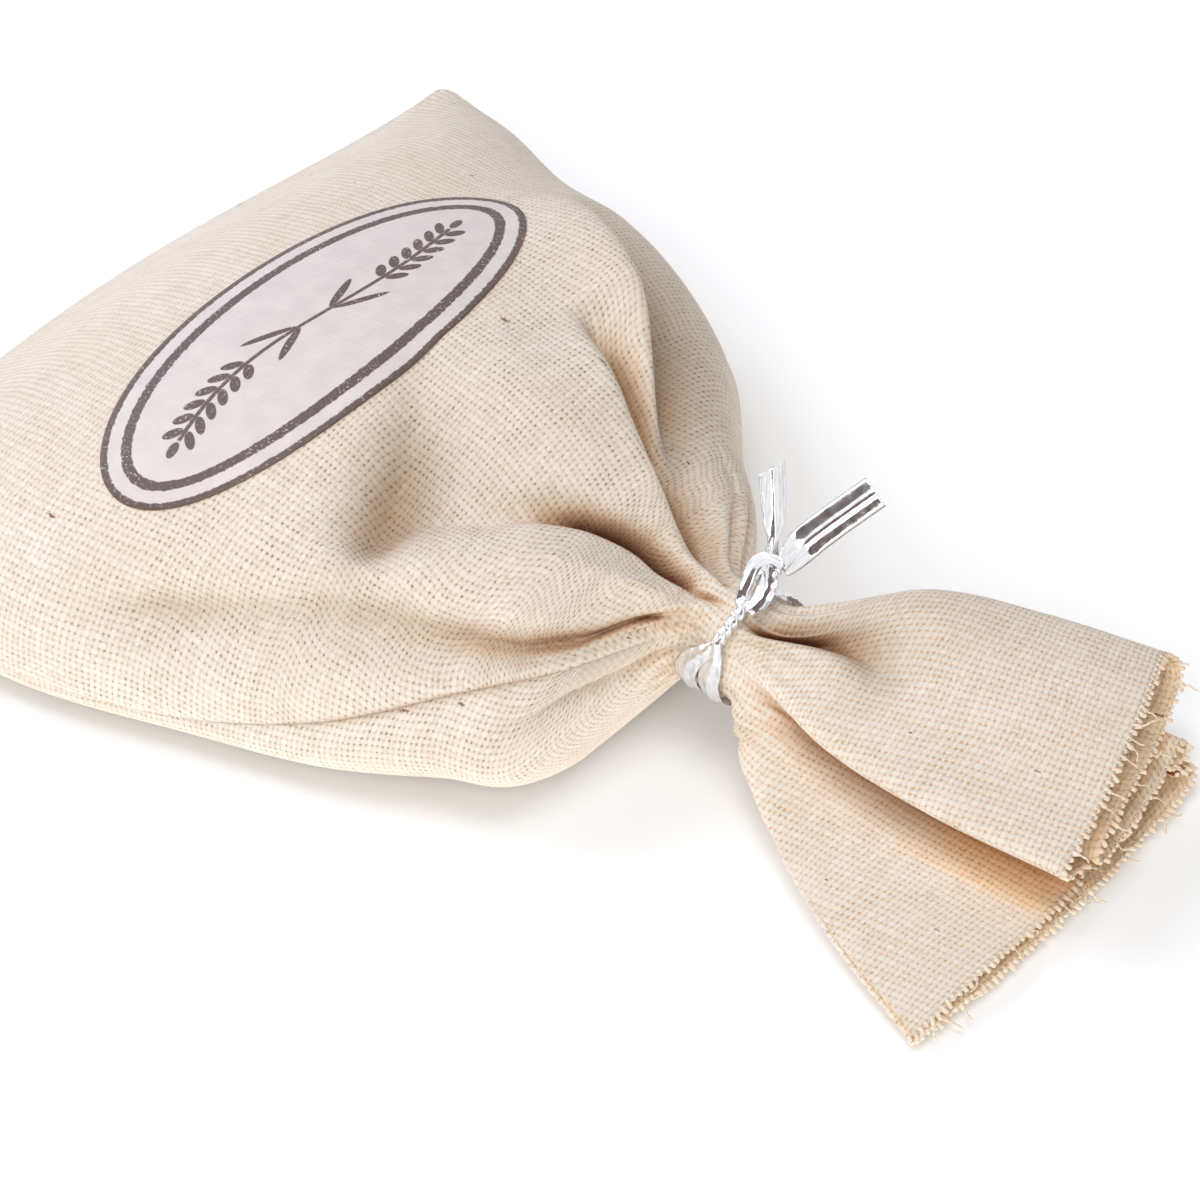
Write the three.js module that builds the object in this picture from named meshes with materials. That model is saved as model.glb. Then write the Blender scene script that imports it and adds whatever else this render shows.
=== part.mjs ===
// Tied cotton sachet of dried lavender, lying on its back panel.
// Millimetres, +Z up, +X from the bottom seam to the open mouth, origin under the middle of the whole.
// The sections below are set out from the middle of the tied neck.

import * as THREE from "three";

// Filled body of the bag
const BODY_LENGTH = 96;
const BODY_WIDTH = 106;
const CROWN_HEIGHT = 33;
const SEAM_HEIGHT = 8;
const END_SEAM_HEIGHT = 12;
const END_SLANT = 4;
const END_BOW = 2.8;
const EAR_FROM_CORNER = 1.9;
const CLOTH = 0.6;
const SEAM_GAP = 0.5;

// Gathered neck under the tie
const NECK_LENGTH = 9;
const NECK_RADIUS = 6.5;
const NECK_HEIGHT = 13;
const PLEATS = 7;
const PLEAT_DEPTH = 0.35;

// Ruffle beyond the tie
const RUFFLE_LENGTH = 48;
const RUFFLE_WIDTH = 60;
const RUFFLE_HEIGHT = 14.5;
const RUFFLE_CREST = 3;

// Overlocked seams on the inside
const SEAM_DEPTH = 2.8;
const SEAM_THICKNESS = 1.4;
const SEAM_LOOP = 4.5;
const SEAM_INSET = 0.4;
const SEAM_FROM_NECK = 15;

// Filling
const FILL_GAP = 0.7;
const FILL_FROM_END = 9;
const FILL_FROM_NECK = 8;

// Printed label
const LABEL_LENGTH = 66;
const LABEL_BREADTH = 28;
const LABEL_FROM_TIE = 58;
const LABEL_OFF_AXIS = -5;
const LABEL_FILM = 0.25;
const LABEL_GAP = 0.4;

// Twist tie
const RIBBON_WIDTH = 4;
const CREASED_WIDTH = 2.5;
const TWIST_WIDTH = 1.3;
const RIDGE = 0.9;
const BORE_RADIUS = 0.32;
const WIRE_RADIUS = 0.22;
const TIE_GAP = 0.3;
const TAIL_GAP = 0.6;
const TAIL_ROOT_WIDTH = 1;
const WRAP_PITCH = 3.3;
const WRAP_OPENING = 25;
const TWIST_RADIUS = 1.05;
const TWIST_TURNS = 1;
const BROAD_TAIL = 14.5;
const NARROW_TAIL = 12;

// Steps of the faceted surfaces
const COLUMNS = 30;
const ROWS_PER_SPAN = [2, 3, 4, 5, 4, 3, 3, 1, 1, 4, 5, 4];
const CORNER_COLUMNS = 6;
const NECK_STATION = 8;

// Folds of the front panel. Each knot holds the way from the tie along the cloth, the way across it from
// the middle of the panel, the depth and the breadth, as shares of the body's length, width, height, width.
const FOLDS = {
  creaseAtTie: [
    [-0.39, -0.22, 0.03, 0.055],
    [-0.3, -0.12, 0.08, 0.045],
    [-0.22, -0.04, 0.15, 0.035],
    [-0.14, 0.005, 0.17, 0.025],
    [-0.06, -0.01, 0.04, 0.018],
  ],
  valleyBesideLabel: [
    [-0.54, 0.03, 0, 0.07],
    [-0.47, -0.07, 0.09, 0.065],
    [-0.42, -0.15, 0.16, 0.06],
    [-0.39, -0.22, 0.13, 0.05],
    [-0.37, -0.28, 0, 0.045],
  ],
  nearWallHollow: [
    [-0.62, -0.46, 0, 0.05],
    [-0.47, -0.4, 0.11, 0.05],
    [-0.29, -0.28, 0.15, 0.04],
    [-0.16, -0.2, 0.14, 0.03],
    [-0.1, -0.12, 0.11, 0.02],
    [-0.06, -0.06, 0.02, 0.015],
  ],
  stepBelowRidge: [
    [-0.44, 0.18, 0, 0.04],
    [-0.36, 0.155, 0.16, 0.04],
    [-0.22, 0.11, 0.2, 0.032],
    [-0.11, 0.07, 0.12, 0.02],
    [-0.04, 0.02, 0, 0.012],
  ],
  farRidge: [
    [-0.66, 0.37, 0, 0.05],
    [-0.48, 0.26, -0.12, 0.042],
    [-0.36, 0.2, -0.13, 0.036],
    [-0.21, 0.13, 0, 0.02],
  ],
  farSide: [
    [-0.64, 0.43, 0, 0.07],
    [-0.47, 0.36, 0.12, 0.075],
    [-0.28, 0.23, 0.12, 0.05],
    [-0.17, 0.14, 0, 0.03],
  ],
  crown: [
    [-0.48, 0.08, 0, 0.075],
    [-0.4, 0.02, -0.05, 0.08],
    [-0.29, 0.02, -0.05, 0.06],
    [-0.21, 0.04, 0, 0.04],
  ],
  swell: [
    [-0.32, -0.21, -0.03, 0.05],
    [-0.19, -0.09, -0.06, 0.04],
    [-0.09, -0.045, -0.03, 0.018],
  ],
  ruffleValley: [
    [0.04, -0.015, 0, 0.012],
    [0.12, -0.03, 0.15, 0.022],
    [0.19, -0.06, 0.15, 0.032],
    [0.28, -0.11, 0, 0.05],
  ],
};
const FOLD_FADE = 5;

const vec = (x, y, z) => new THREE.Vector3(x, y, z);
const radians = THREE.MathUtils.degToRad;
const ease = (value) => THREE.MathUtils.smoothstep(value, 0, 1);

// A closed section of the body: t runs from the near seam over the top to the far seam and back below
function bodySection(shape) {
  const { along, half, crown, nearSeam, farSeam, drift, belly, slant, bulge, bow = 0, fullness = 0.8 } = shape;
  return (t) => {
    const upper = t <= 0.5;
    const swing = 2 * Math.PI * (upper ? t : t - 0.5);
    const share = upper ? -Math.cos(swing) : Math.cos(swing);
    const x = slant * share - along - bow * (1 - share ** 2) * (1 - EAR_FROM_CORNER * share ** 2);
    const swell = Math.max(0, Math.sin(swing));
    const seam = THREE.MathUtils.lerp(nearSeam, farSeam, (share + 1) / 2);
    if (upper) {
      return vec(x, drift + half * share, seam + (crown - seam) * swell ** fullness);
    }
    const sunk = Math.min(1, 1.12 * (1 - (1 - swell) ** 2.2));
    const out = share < 0 ? bulge * Math.max(0, Math.sin(Math.PI * sunk)) ** 0.8 : 0;
    const below = Math.sign(share) * Math.abs(share) ** 0.6;
    return vec(x, drift + half * below - out, seam - (seam - belly) * sunk);
  };
}

// A section of the neck: the near seam has been drawn up to the top by the tie
function neckSection(x, nearSeam) {
  const top = 93;
  const farSeam = -20;
  return (t) => {
    let degrees = THREE.MathUtils.lerp(farSeam, nearSeam - 360, 2 * t - 1);
    if (t <= 0.25) {
      degrees = THREE.MathUtils.lerp(nearSeam, top, 4 * t);
    } else if (t <= 0.5) {
      degrees = THREE.MathUtils.lerp(top, farSeam, 4 * t - 1);
    }
    const radius = NECK_RADIUS + PLEAT_DEPTH * Math.cos(2 * Math.PI * PLEATS * t);
    const angle = radians(degrees);
    return vec(x, radius * Math.cos(angle), NECK_HEIGHT + radius * Math.sin(angle));
  };
}

// The cut edge of the mouth as it lies: an upper lobe folded over a lower one that rests on the table
function mouthSection() {
  const start = NECK_LENGTH / 2;
  const reach = RUFFLE_LENGTH - start;
  const half = RUFFLE_WIDTH / 2;
  const place = (along, across, height) =>
    vec(start + reach * along, half * across, RUFFLE_HEIGHT * height);
  const front = [
    place(1, -0.07, 0.6),
    place(0.97, 0.2, 0.8),
    place(0.92, 0.47, 0.94),
    place(0.85, 0.77, 1),
    place(0.79, 1, 0.9),
    place(0.84, 1, 0.62),
    place(0.9, 0.83, 0.5),
  ];
  const back = [
    place(0.95, 0.9, 0.3),
    place(0.98, 0.78, 0.12),
    place(1, 0.3, 0.06),
    place(1, -0.33, 0.06),
    place(0.96, -0.92, 0.1),
    place(0.98, -0.53, 0.3),
    place(0.99, -0.17, 0.37),
    place(0.98, 0.12, 0.36),
  ];
  const edge = new THREE.CatmullRomCurve3([...front, ...back], true, "centripetal");
  const frontSpans = front.length - 1;
  const backSpans = back.length + 1;
  return (t) => {
    const index = t <= 0.5 ? 2 * t * frontSpans : frontSpans + (2 * t - 1) * backSpans;
    return edge.getPoint((index % (frontSpans + backSpans)) / (frontSpans + backSpans));
  };
}

// A section of the ruffle, part of the way to the mouth; its upper lobe is lifted to a crest
function ruffleSection(neck, mouth, share, spread, lift) {
  return (t) => {
    const from = neck(t);
    const to = mouth(t);
    const crest = t < 0.5 ? RUFFLE_CREST * lift * Math.sin(2 * Math.PI * t) : 0;
    return vec(
      THREE.MathUtils.lerp(from.x, to.x, share),
      THREE.MathUtils.lerp(from.y, to.y, spread),
      THREE.MathUtils.lerp(from.z, to.z, spread) + crest,
    );
  };
}

function allSections() {
  const half = BODY_WIDTH / 2;
  const pinch = CLOTH + SEAM_GAP;
  const body = (along, width, height, nearSeam, farSeam, drift, slant = 0, bulge = 0) =>
    bodySection({
      along: BODY_LENGTH * along,
      half: half * width,
      crown: CROWN_HEIGHT * height,
      nearSeam: SEAM_HEIGHT * nearSeam,
      farSeam: SEAM_HEIGHT * farSeam,
      drift: half * drift,
      belly: 0,
      slant: END_SLANT * slant,
      bulge: half * bulge,
    });
  const end = bodySection({
    along: BODY_LENGTH,
    half: half * 1.02,
    crown: END_SEAM_HEIGHT + pinch,
    nearSeam: END_SEAM_HEIGHT,
    farSeam: END_SEAM_HEIGHT,
    drift: 0,
    belly: END_SEAM_HEIGHT - pinch,
    slant: END_SLANT,
    bulge: 0,
    bow: END_BOW,
    fullness: 0.05,
  });
  const neckEnd = neckSection(NECK_LENGTH / 2, 145);
  const mouth = mouthSection();
  return [
    end,
    body(0.855, 1, 0.77, 0.88, 1.12, -0.02, 0.9),
    body(0.68, 0.94, 0.96, 0.63, 0.88, -0.047, 0.4),
    body(0.49, 0.86, 1, 0.69, 1, -0.009),
    body(0.31, 0.705, 0.92, 1.3, 1.3, -0.028, 0, 0.038),
    body(0.185, 0.495, 0.79, 1.94, 1.55, -0.062, 0, 0.094),
    body(0.104, 0.345, 0.64, 2.19, 1.65, -0.053, 0, 0.18),
    neckSection(-NECK_LENGTH / 2, 160),
    neckSection(0, 152),
    neckEnd,
    ruffleSection(neckEnd, mouth, 0.3, 0.48, 1),
    ruffleSection(neckEnd, mouth, 0.62, 0.77, 0.5),
    mouth,
  ];
}

// Depth of one fold at a place of the cloth
function foldDepth(path, along, across) {
  const sizes = [BODY_LENGTH, BODY_WIDTH, CROWN_HEIGHT, BODY_WIDTH];
  const knots = path.map((knot) => knot.map((share, k) => share * sizes[k]));
  const place = new THREE.Vector2(along, across);
  let nearest = Infinity;
  let found = 0;
  for (let k = 0; k + 1 < knots.length; k += 1) {
    const [from, to] = [knots[k], knots[k + 1]];
    const start = new THREE.Vector2(from[0], from[1]);
    const way = new THREE.Vector2(to[0], to[1]).sub(start);
    const share = THREE.MathUtils.clamp(place.clone().sub(start).dot(way) / way.lengthSq(), 0, 1);
    const away = start.addScaledVector(way, share).distanceTo(place);
    if (away < nearest) {
      nearest = away;
      const depth = THREE.MathUtils.lerp(from[2], to[2], share);
      const breadth = THREE.MathUtils.lerp(from[3], to[3], share);
      found = depth * Math.exp(-((away / breadth) ** 2));
    }
  }
  return found;
}

// The front panel pressed in along its folds, which fade out at the seams
function folded(grid, stations) {
  const normals = gridNormals(grid);
  const middle = COLUMNS / 2;
  const tie = stations.indexOf(NECK_STATION);
  const run = [0];
  for (let i = 1; i < grid.length; i += 1) {
    run.push(run[i - 1] + grid[i][middle].distanceTo(grid[i - 1][middle]));
  }
  return grid.map((row, i) => {
    const girth = [0];
    for (let j = 1; j <= COLUMNS; j += 1) {
      girth.push(girth[j - 1] + row[j].distanceTo(row[j - 1]));
    }
    return row.map((point, j) => {
      if (j > COLUMNS) {
        return point;
      }
      let depth = 0;
      for (const path of Object.values(FOLDS)) {
        depth += foldDepth(path, run[i] - run[tie], girth[j] - girth[middle]);
      }
      const fade = ease(Math.min(girth[j], girth[COLUMNS] - girth[j]) / FOLD_FADE);
      return point.clone().addScaledVector(normals[i][j], -depth * fade);
    });
  });
}

function gridNormals(grid) {
  const rows = grid.length;
  const columns = grid[0].length;
  return grid.map((row, i) =>
    row.map((point, j) => {
      const ahead = grid[Math.min(i + 1, rows - 1)][j];
      const behind = grid[Math.max(i - 1, 0)][j];
      const next = row[(j + 1) % columns];
      const last = row[(j + columns - 1) % columns];
      const along = ahead.clone().sub(behind);
      const around = next.clone().sub(last);
      return around.cross(along).negate().normalize();
    }),
  );
}

// The outer face of the cloth: rows along the bag, columns round it
function clothGrid() {
  const sections = allSections();
  const stations = [0];
  ROWS_PER_SPAN.forEach((steps, span) => {
    for (let step = 1; step <= steps; step += 1) {
      stations.push(span + step / steps);
    }
  });
  const rails = [];
  for (let j = 0; j < 2 * COLUMNS; j += 1) {
    const t = j / (2 * COLUMNS);
    rails.push(new THREE.CatmullRomCurve3(sections.map((section) => section(t)), false, "centripetal"));
  }
  const smooth = stations.map((station) =>
    rails.map((rail) => {
      const point = rail.getPoint(station / (sections.length - 1));
      point.z = Math.max(0, point.z);
      return point;
    }),
  );
  return folded(smooth, stations);
}

function inset(grid, normals, depth) {
  return grid.map((row, i) => row.map((point, j) => point.clone().addScaledVector(normals[i][j], -depth)));
}

function closedGeometry(points, faces) {
  const geometry = new THREE.BufferGeometry().setFromPoints(points);
  let volume = 0;
  for (let k = 0; k < faces.length; k += 3) {
    const [a, b, c] = [points[faces[k]], points[faces[k + 1]], points[faces[k + 2]]];
    volume += a.dot(b.clone().cross(c));
  }
  if (volume < 0) {
    faces.reverse();
  }
  geometry.setIndex(faces);
  geometry.computeVertexNormals();
  return geometry;
}

// A solid between two grids of the same size
function sheetSolid(upper, lower) {
  const rows = upper.length;
  const columns = upper[0].length;
  const points = [...upper.flat(), ...lower.flat()];
  const top = (i, j) => i * columns + j;
  const under = (i, j) => rows * columns + i * columns + j;
  const faces = [];
  const quad = (a, b, c, d) => faces.push(a, b, c, a, c, d);
  for (let i = 0; i + 1 < rows; i += 1) {
    for (let j = 0; j + 1 < columns; j += 1) {
      quad(top(i, j), top(i, j + 1), top(i + 1, j + 1), top(i + 1, j));
      quad(under(i, j), under(i + 1, j), under(i + 1, j + 1), under(i, j + 1));
    }
    quad(top(i, 0), top(i + 1, 0), under(i + 1, 0), under(i, 0));
    quad(top(i + 1, columns - 1), top(i, columns - 1), under(i, columns - 1), under(i + 1, columns - 1));
  }
  for (let j = 0; j + 1 < columns; j += 1) {
    quad(top(0, j + 1), top(0, j), under(0, j), under(0, j + 1));
    quad(top(rows - 1, j), top(rows - 1, j + 1), under(rows - 1, j + 1), under(rows - 1, j));
  }
  return closedGeometry(points, faces);
}

// A solid swept through frames: each holds its middle, its sideways and its upward direction
function sweptSolid(frames, outlineOf, boreOf = null) {
  const outline = frames.map((frame, i) => ringOf(frame, outlineOf(i)));
  const bore = boreOf ? frames.map((frame, i) => ringOf(frame, boreOf(i))) : [];
  const points = [...outline.flat(), ...bore.flat()];
  const sides = outline[0].length;
  const faces = [];
  const skin = (offset, count, turned) => {
    for (let i = 0; i + 1 < frames.length; i += 1) {
      for (let k = 0; k < count; k += 1) {
        const a = offset + i * count + k;
        const b = offset + i * count + ((k + 1) % count);
        const quad = [a, b, b + count, a, b + count, a + count];
        faces.push(...(turned ? quad.reverse() : quad));
      }
    }
  };
  skin(0, sides, false);
  const boreSides = boreOf ? bore[0].length : 0;
  const boreStart = frames.length * sides;
  skin(boreStart, boreSides, true);
  for (const end of [0, frames.length - 1]) {
    const flat = outlineOf(end).map(([across, up]) => new THREE.Vector2(across, up));
    const hole = boreOf ? [boreOf(end).map(([across, up]) => new THREE.Vector2(across, up))] : [];
    const number = (k) => (k < sides ? end * sides + k : boreStart + end * boreSides + k - sides);
    for (const [a, b, c] of THREE.ShapeUtils.triangulateShape(flat, hole)) {
      const face = [number(a), number(b), number(c)];
      faces.push(...(end === 0 ? face.reverse() : face));
    }
  }
  return closedGeometry(points, faces);
}

function ringOf({ at, side, up }, outline) {
  return outline.map(([a, b]) => at.clone().addScaledVector(side, a).addScaledVector(up, b));
}

function oval(width, height, sides) {
  return Array.from({ length: sides }, (_, k) => {
    const angle = (2 * Math.PI * k) / sides;
    return [(width / 2) * Math.cos(angle), (height / 2) * Math.sin(angle)];
  });
}

// Frames along a path, turned so that each keeps the given sideways direction
function framesAlong(places, sides) {
  return places.map((at, i) => {
    const ahead = places[Math.min(i + 1, places.length - 1)];
    const behind = places[Math.max(i - 1, 0)];
    const along = ahead.clone().sub(behind).normalize();
    const up = along.clone().cross(sides[i]).normalize();
    return { at, side: up.clone().cross(along).normalize(), up };
  });
}

// One cloth panel between two seams; its edges stop short of the seam
function panel(grid, normals, first) {
  const columns = grid[0].length;
  const cut = (source) =>
    source.map((row) => {
      const edge = [];
      for (let j = 0; j <= COLUMNS; j += 1) {
        edge.push(row[(first + j) % columns].clone());
      }
      edge[0].lerp(edge[1], SEAM_GAP / edge[0].distanceTo(edge[1]));
      const last = edge.length - 1;
      edge[last].lerp(edge[last - 1], SEAM_GAP / edge[last].distanceTo(edge[last - 1]));
      return edge;
    });
  return sheetSolid(cut(grid), cut(inset(grid, normals, CLOTH)));
}

// The rows that lie in the filled body, up to a distance from the neck
function filledRows(grid, fromNeck) {
  const top = COLUMNS / 2;
  return grid
    .map((row, i) => i)
    .filter((i) => {
      const x = grid[i][top].x;
      return x > -BODY_LENGTH + FILL_FROM_END && x < -NECK_LENGTH / 2 - fromNeck;
    });
}

function filling(grid, normals) {
  const inner = inset(grid, normals, CLOTH + FILL_GAP);
  const first = CORNER_COLUMNS;
  const last = COLUMNS - CORNER_COLUMNS;
  const upper = [];
  const lower = [];
  for (const i of filledRows(grid, FILL_FROM_NECK)) {
    upper.push(inner[i].slice(first, last + 1));
    lower.push(inner[i].slice(COLUMNS + first, COLUMNS + last + 1).reverse());
  }
  return sheetSolid(upper, lower);
}

// A ribbed bead of overlock stitches along a path
function seamBead(places, inwards) {
  const path = new THREE.CatmullRomCurve3(places, false, "centripetal");
  const depth = new THREE.CatmullRomCurve3(inwards, false, "centripetal");
  const loops = Math.max(2, Math.round(path.getLength() / SEAM_LOOP));
  const steps = 3 * loops;
  const middles = [];
  const sides = [];
  for (let i = 0; i <= steps; i += 1) {
    middles.push(path.getPoint(i / steps));
    sides.push(depth.getPoint(i / steps).normalize());
  }
  const frames = framesAlong(middles, sides);
  return sweptSolid(frames, (i) => {
    const rib = i % 3 === 0 ? 0.82 : 1;
    return oval(SEAM_DEPTH * rib, SEAM_THICKNESS * rib, 6);
  });
}

function sideSeam(grid, normals, column) {
  const places = [];
  const inwards = [];
  for (const i of filledRows(grid, SEAM_FROM_NECK)) {
    const inward = normals[i][column].clone().negate();
    places.push(grid[i][column].clone().addScaledVector(inward, CLOTH + SEAM_INSET + SEAM_DEPTH / 2));
    inwards.push(inward);
  }
  return seamBead(places, inwards);
}

function endSeam(grid) {
  const row = grid[0];
  const places = [];
  const inwards = [];
  const inward = vec(1, 0, 0);
  for (let j = CORNER_COLUMNS; j <= COLUMNS - CORNER_COLUMNS; j += 1) {
    const middle = row[j].clone().add(row[2 * COLUMNS - j]).multiplyScalar(0.5);
    places.push(middle.addScaledVector(inward, SEAM_INSET + SEAM_DEPTH / 2));
    inwards.push(inward);
  }
  return seamBead(places, inwards);
}

// The oval label, laid on the front panel from above
function label(frontMesh) {
  const rows = 12;
  const columns = 16;
  const caster = new THREE.Raycaster();
  const down = vec(0, 0, -1);
  const under = [];
  const over = [];
  for (let i = 0; i <= rows; i += 1) {
    under.push([]);
    over.push([]);
    for (let j = 0; j <= columns; j += 1) {
      const a = (2 * i) / rows - 1;
      const b = (2 * j) / columns - 1;
      const x = -LABEL_FROM_TIE + (LABEL_BREADTH / 2) * a * Math.sqrt(1 - (b * b) / 2);
      const y = LABEL_OFF_AXIS + (LABEL_LENGTH / 2) * b * Math.sqrt(1 - (a * a) / 2);
      caster.set(vec(x, y, 10 * CROWN_HEIGHT), down);
      const [hit] = caster.intersectObject(frontMesh);
      under[i].push(hit.point.clone().addScaledVector(hit.face.normal, LABEL_GAP));
      over[i].push(hit.point.clone().addScaledVector(hit.face.normal, LABEL_GAP + LABEL_FILM));
    }
  }
  return sheetSolid(over, under);
}

// The wound and twisted part of the tie: up one strand, two turns round the neck, up the other strand
function tiePath() {
  const radius = NECK_RADIUS + PLEAT_DEPTH + TIE_GAP + RIDGE / 2;
  const top = NECK_HEIGHT + radius;
  const axis = new THREE.QuadraticBezierCurve3(
    vec(1, -2.4, top + 1.6),
    vec(1.8, -1.2, top + 2.8),
    vec(2.6, 2.6, top + 4),
  );
  const knots = [];
  const strand = (phase, downwards) => {
    const steps = Math.round(16 * TWIST_TURNS);
    const made = [];
    for (let i = 0; i <= steps; i += 1) {
      const share = i / steps;
      const middle = axis.getPoint(share);
      const along = axis.getTangent(share);
      const second = along.clone().cross(vec(1, 0, 0)).normalize();
      const first = second.clone().cross(along).normalize();
      const angle = phase - 2 * Math.PI * TWIST_TURNS * share;
      const out = first.multiplyScalar(Math.cos(angle)).addScaledVector(second, Math.sin(angle));
      const at = middle.addScaledVector(out, TWIST_RADIUS);
      made.push({ at, side: along.clone().cross(out), width: TWIST_WIDTH });
    }
    return downwards ? made.reverse() : made;
  };
  knots.push(...strand(Math.PI, true).map((knot) => ({ ...knot, side: knot.side.negate() })));
  const turns = 2 * 360 - 2 * WRAP_OPENING;
  const steps = Math.round((24 * turns) / 360);
  for (let i = 0; i <= steps; i += 1) {
    const degrees = WRAP_OPENING + (turns * i) / steps;
    const angle = radians(degrees);
    const x = (WRAP_PITCH * (degrees - 360)) / 360;
    const at = vec(x, -radius * Math.sin(angle), NECK_HEIGHT + radius * Math.cos(angle));
    const shoulder = Math.min(i, steps - i) / 4;
    const width = THREE.MathUtils.lerp(TWIST_WIDTH, CREASED_WIDTH, ease(shoulder));
    knots.push({ at, side: vec(-1, 0, 0), width });
  }
  knots.push(...strand(0, false));
  return knots;
}

// The path of a free tail, from the twist to its cut end
function tailPath(root, heading, tip, faceSide, length) {
  const steps = 10;
  const reach = heading.clone().multiplyScalar(0.35 * length);
  const end = root.at.clone().addScaledVector(tip.clone().normalize(), length);
  const curve = new THREE.QuadraticBezierCurve3(root.at.clone(), root.at.clone().add(reach), end);
  const knots = [];
  for (let i = 0; i <= steps; i += 1) {
    const share = i / steps;
    knots.push({
      at: curve.getPoint(share),
      side: root.side.clone().lerp(faceSide, ease(share / 0.7)).normalize(),
      width: THREE.MathUtils.lerp(TAIL_ROOT_WIDTH, RIBBON_WIDTH, ease(share / 0.65)),
    });
  }
  return knots;
}

function ribbonOutline(width) {
  const half = width / 2;
  const shoulder = Math.min(0.5, 0.6 * half);
  return [
    [half, 0],
    [shoulder, RIDGE / 2],
    [-shoulder, RIDGE / 2],
    [-half, 0],
    [-shoulder, -RIDGE / 2],
    [shoulder, -RIDGE / 2],
  ];
}

function ribbonFilm(knots) {
  const frames = framesAlong(
    knots.map((knot) => knot.at),
    knots.map((knot) => knot.side),
  );
  return sweptSolid(
    frames,
    (i) => ribbonOutline(knots[i].width),
    () => oval(2 * BORE_RADIUS, 2 * BORE_RADIUS, 4),
  );
}

function ribbonWire(knots) {
  const frames = framesAlong(
    knots.map((knot) => knot.at),
    knots.map((knot) => knot.side),
  );
  return sweptSolid(frames, () => oval(2 * WIRE_RADIUS, 2 * WIRE_RADIUS, 4));
}

// Least distance of the wound ribbon to itself, between places over half a turn apart along it
function leastGap(knots) {
  const frames = framesAlong(
    knots.map((knot) => knot.at),
    knots.map((knot) => knot.side),
  );
  const rings = frames.map((frame, i) => ringOf(frame, ribbonOutline(knots[i].width)));
  let least = Infinity;
  for (let i = 0; i < rings.length; i += 1) {
    for (let k = i + 12; k < rings.length; k += 1) {
      for (const a of rings[i]) {
        for (const b of rings[k]) {
          least = Math.min(least, a.distanceTo(b));
        }
      }
    }
  }
  return least;
}

const cotton = new THREE.MeshStandardMaterial({ color: 0xe6d9c8, roughness: 0.95, metalness: 0 });
const thread = new THREE.MeshStandardMaterial({ color: 0xf0e8dc, roughness: 0.9, metalness: 0 });
const buds = new THREE.MeshStandardMaterial({ color: 0x6a6286, roughness: 0.95, metalness: 0 });
const print = new THREE.MeshStandardMaterial({ color: 0xe5dbd8, roughness: 0.6, metalness: 0 });
const film = new THREE.MeshStandardMaterial({ color: 0xd8d9dc, roughness: 0.2, metalness: 1 });
const steel = new THREE.MeshStandardMaterial({ color: 0x9a9b9d, roughness: 0.35, metalness: 1 });

const sachet = new THREE.Group();
sachet.name = "lavender_sachet";
function add(name, geometry, material) {
  const mesh = new THREE.Mesh(geometry, material);
  mesh.name = name;
  sachet.add(mesh);
  return mesh;
}

const grid = clothGrid();
const normals = gridNormals(grid);
const front = add("front_panel", panel(grid, normals, 0), cotton);
add("back_panel", panel(grid, normals, COLUMNS), cotton);
add("near_side_seam", sideSeam(grid, normals, 0), thread);
add("far_side_seam", sideSeam(grid, normals, COLUMNS), thread);
add("bottom_seam", endSeam(grid), thread);
add("lavender_fill", filling(grid, normals), buds);
add("label_print", label(front), print);

const wound = tiePath();
add("tie_film", ribbonFilm(wound), film);
add("tie_wire", ribbonWire(wound), steel);
console.log(`least gap of the wound tie to itself: ${leastGap(wound).toFixed(2)} mm`);

const tails = [
  { name: "narrow_tail", end: 0, tip: vec(-4, 7, 9), face: vec(-0.83, -0.53, 0.13), length: NARROW_TAIL },
  {
    name: "broad_tail",
    end: wound.length - 1,
    tip: vec(3.7, 12.8, 5),
    face: vec(-0.85, -0.02, 0.53),
    length: BROAD_TAIL,
  },
];
for (const { name, end, tip, face, length } of tails) {
  const before = wound[end === 0 ? 1 : end - 1].at;
  const heading = wound[end].at.clone().sub(before).normalize();
  const root = { ...wound[end], at: wound[end].at.clone().addScaledVector(heading, TAIL_GAP) };
  const knots = tailPath(root, heading, tip, face, length);
  add(`${name}_film`, ribbonFilm(knots), film).userData.root = root;
  add(`${name}_wire`, ribbonWire(knots), steel);
}

const box = new THREE.Box3().setFromObject(sachet);
const middle = box.getCenter(new THREE.Vector3());
sachet.position.set(-middle.x, -middle.y, -box.min.z);

export default sachet;
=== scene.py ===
# Tied cotton sachet of dried lavender: cloth, print, tie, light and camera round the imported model.
# Shapes are set out in millimetres from the middle of the tied neck, then placed in metres.

import math
from functools import partialmethod

import bmesh
import bpy
import numpy as np
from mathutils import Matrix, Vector
from mathutils.bvhtree import BVHTree


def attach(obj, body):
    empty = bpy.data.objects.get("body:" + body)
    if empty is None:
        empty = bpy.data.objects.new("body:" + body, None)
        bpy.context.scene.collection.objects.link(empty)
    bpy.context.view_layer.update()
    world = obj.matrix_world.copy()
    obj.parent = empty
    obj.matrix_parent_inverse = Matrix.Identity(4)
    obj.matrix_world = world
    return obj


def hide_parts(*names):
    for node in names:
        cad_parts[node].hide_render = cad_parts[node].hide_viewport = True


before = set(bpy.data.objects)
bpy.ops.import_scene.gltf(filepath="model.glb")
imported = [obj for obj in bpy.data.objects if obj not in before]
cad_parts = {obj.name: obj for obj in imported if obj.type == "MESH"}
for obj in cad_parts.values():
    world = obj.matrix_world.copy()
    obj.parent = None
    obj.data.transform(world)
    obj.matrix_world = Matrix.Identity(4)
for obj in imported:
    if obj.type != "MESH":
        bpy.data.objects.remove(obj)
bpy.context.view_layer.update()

MM = 0.001
NECK_AT = np.array([25.91, 0.097, 0.0])

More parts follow.
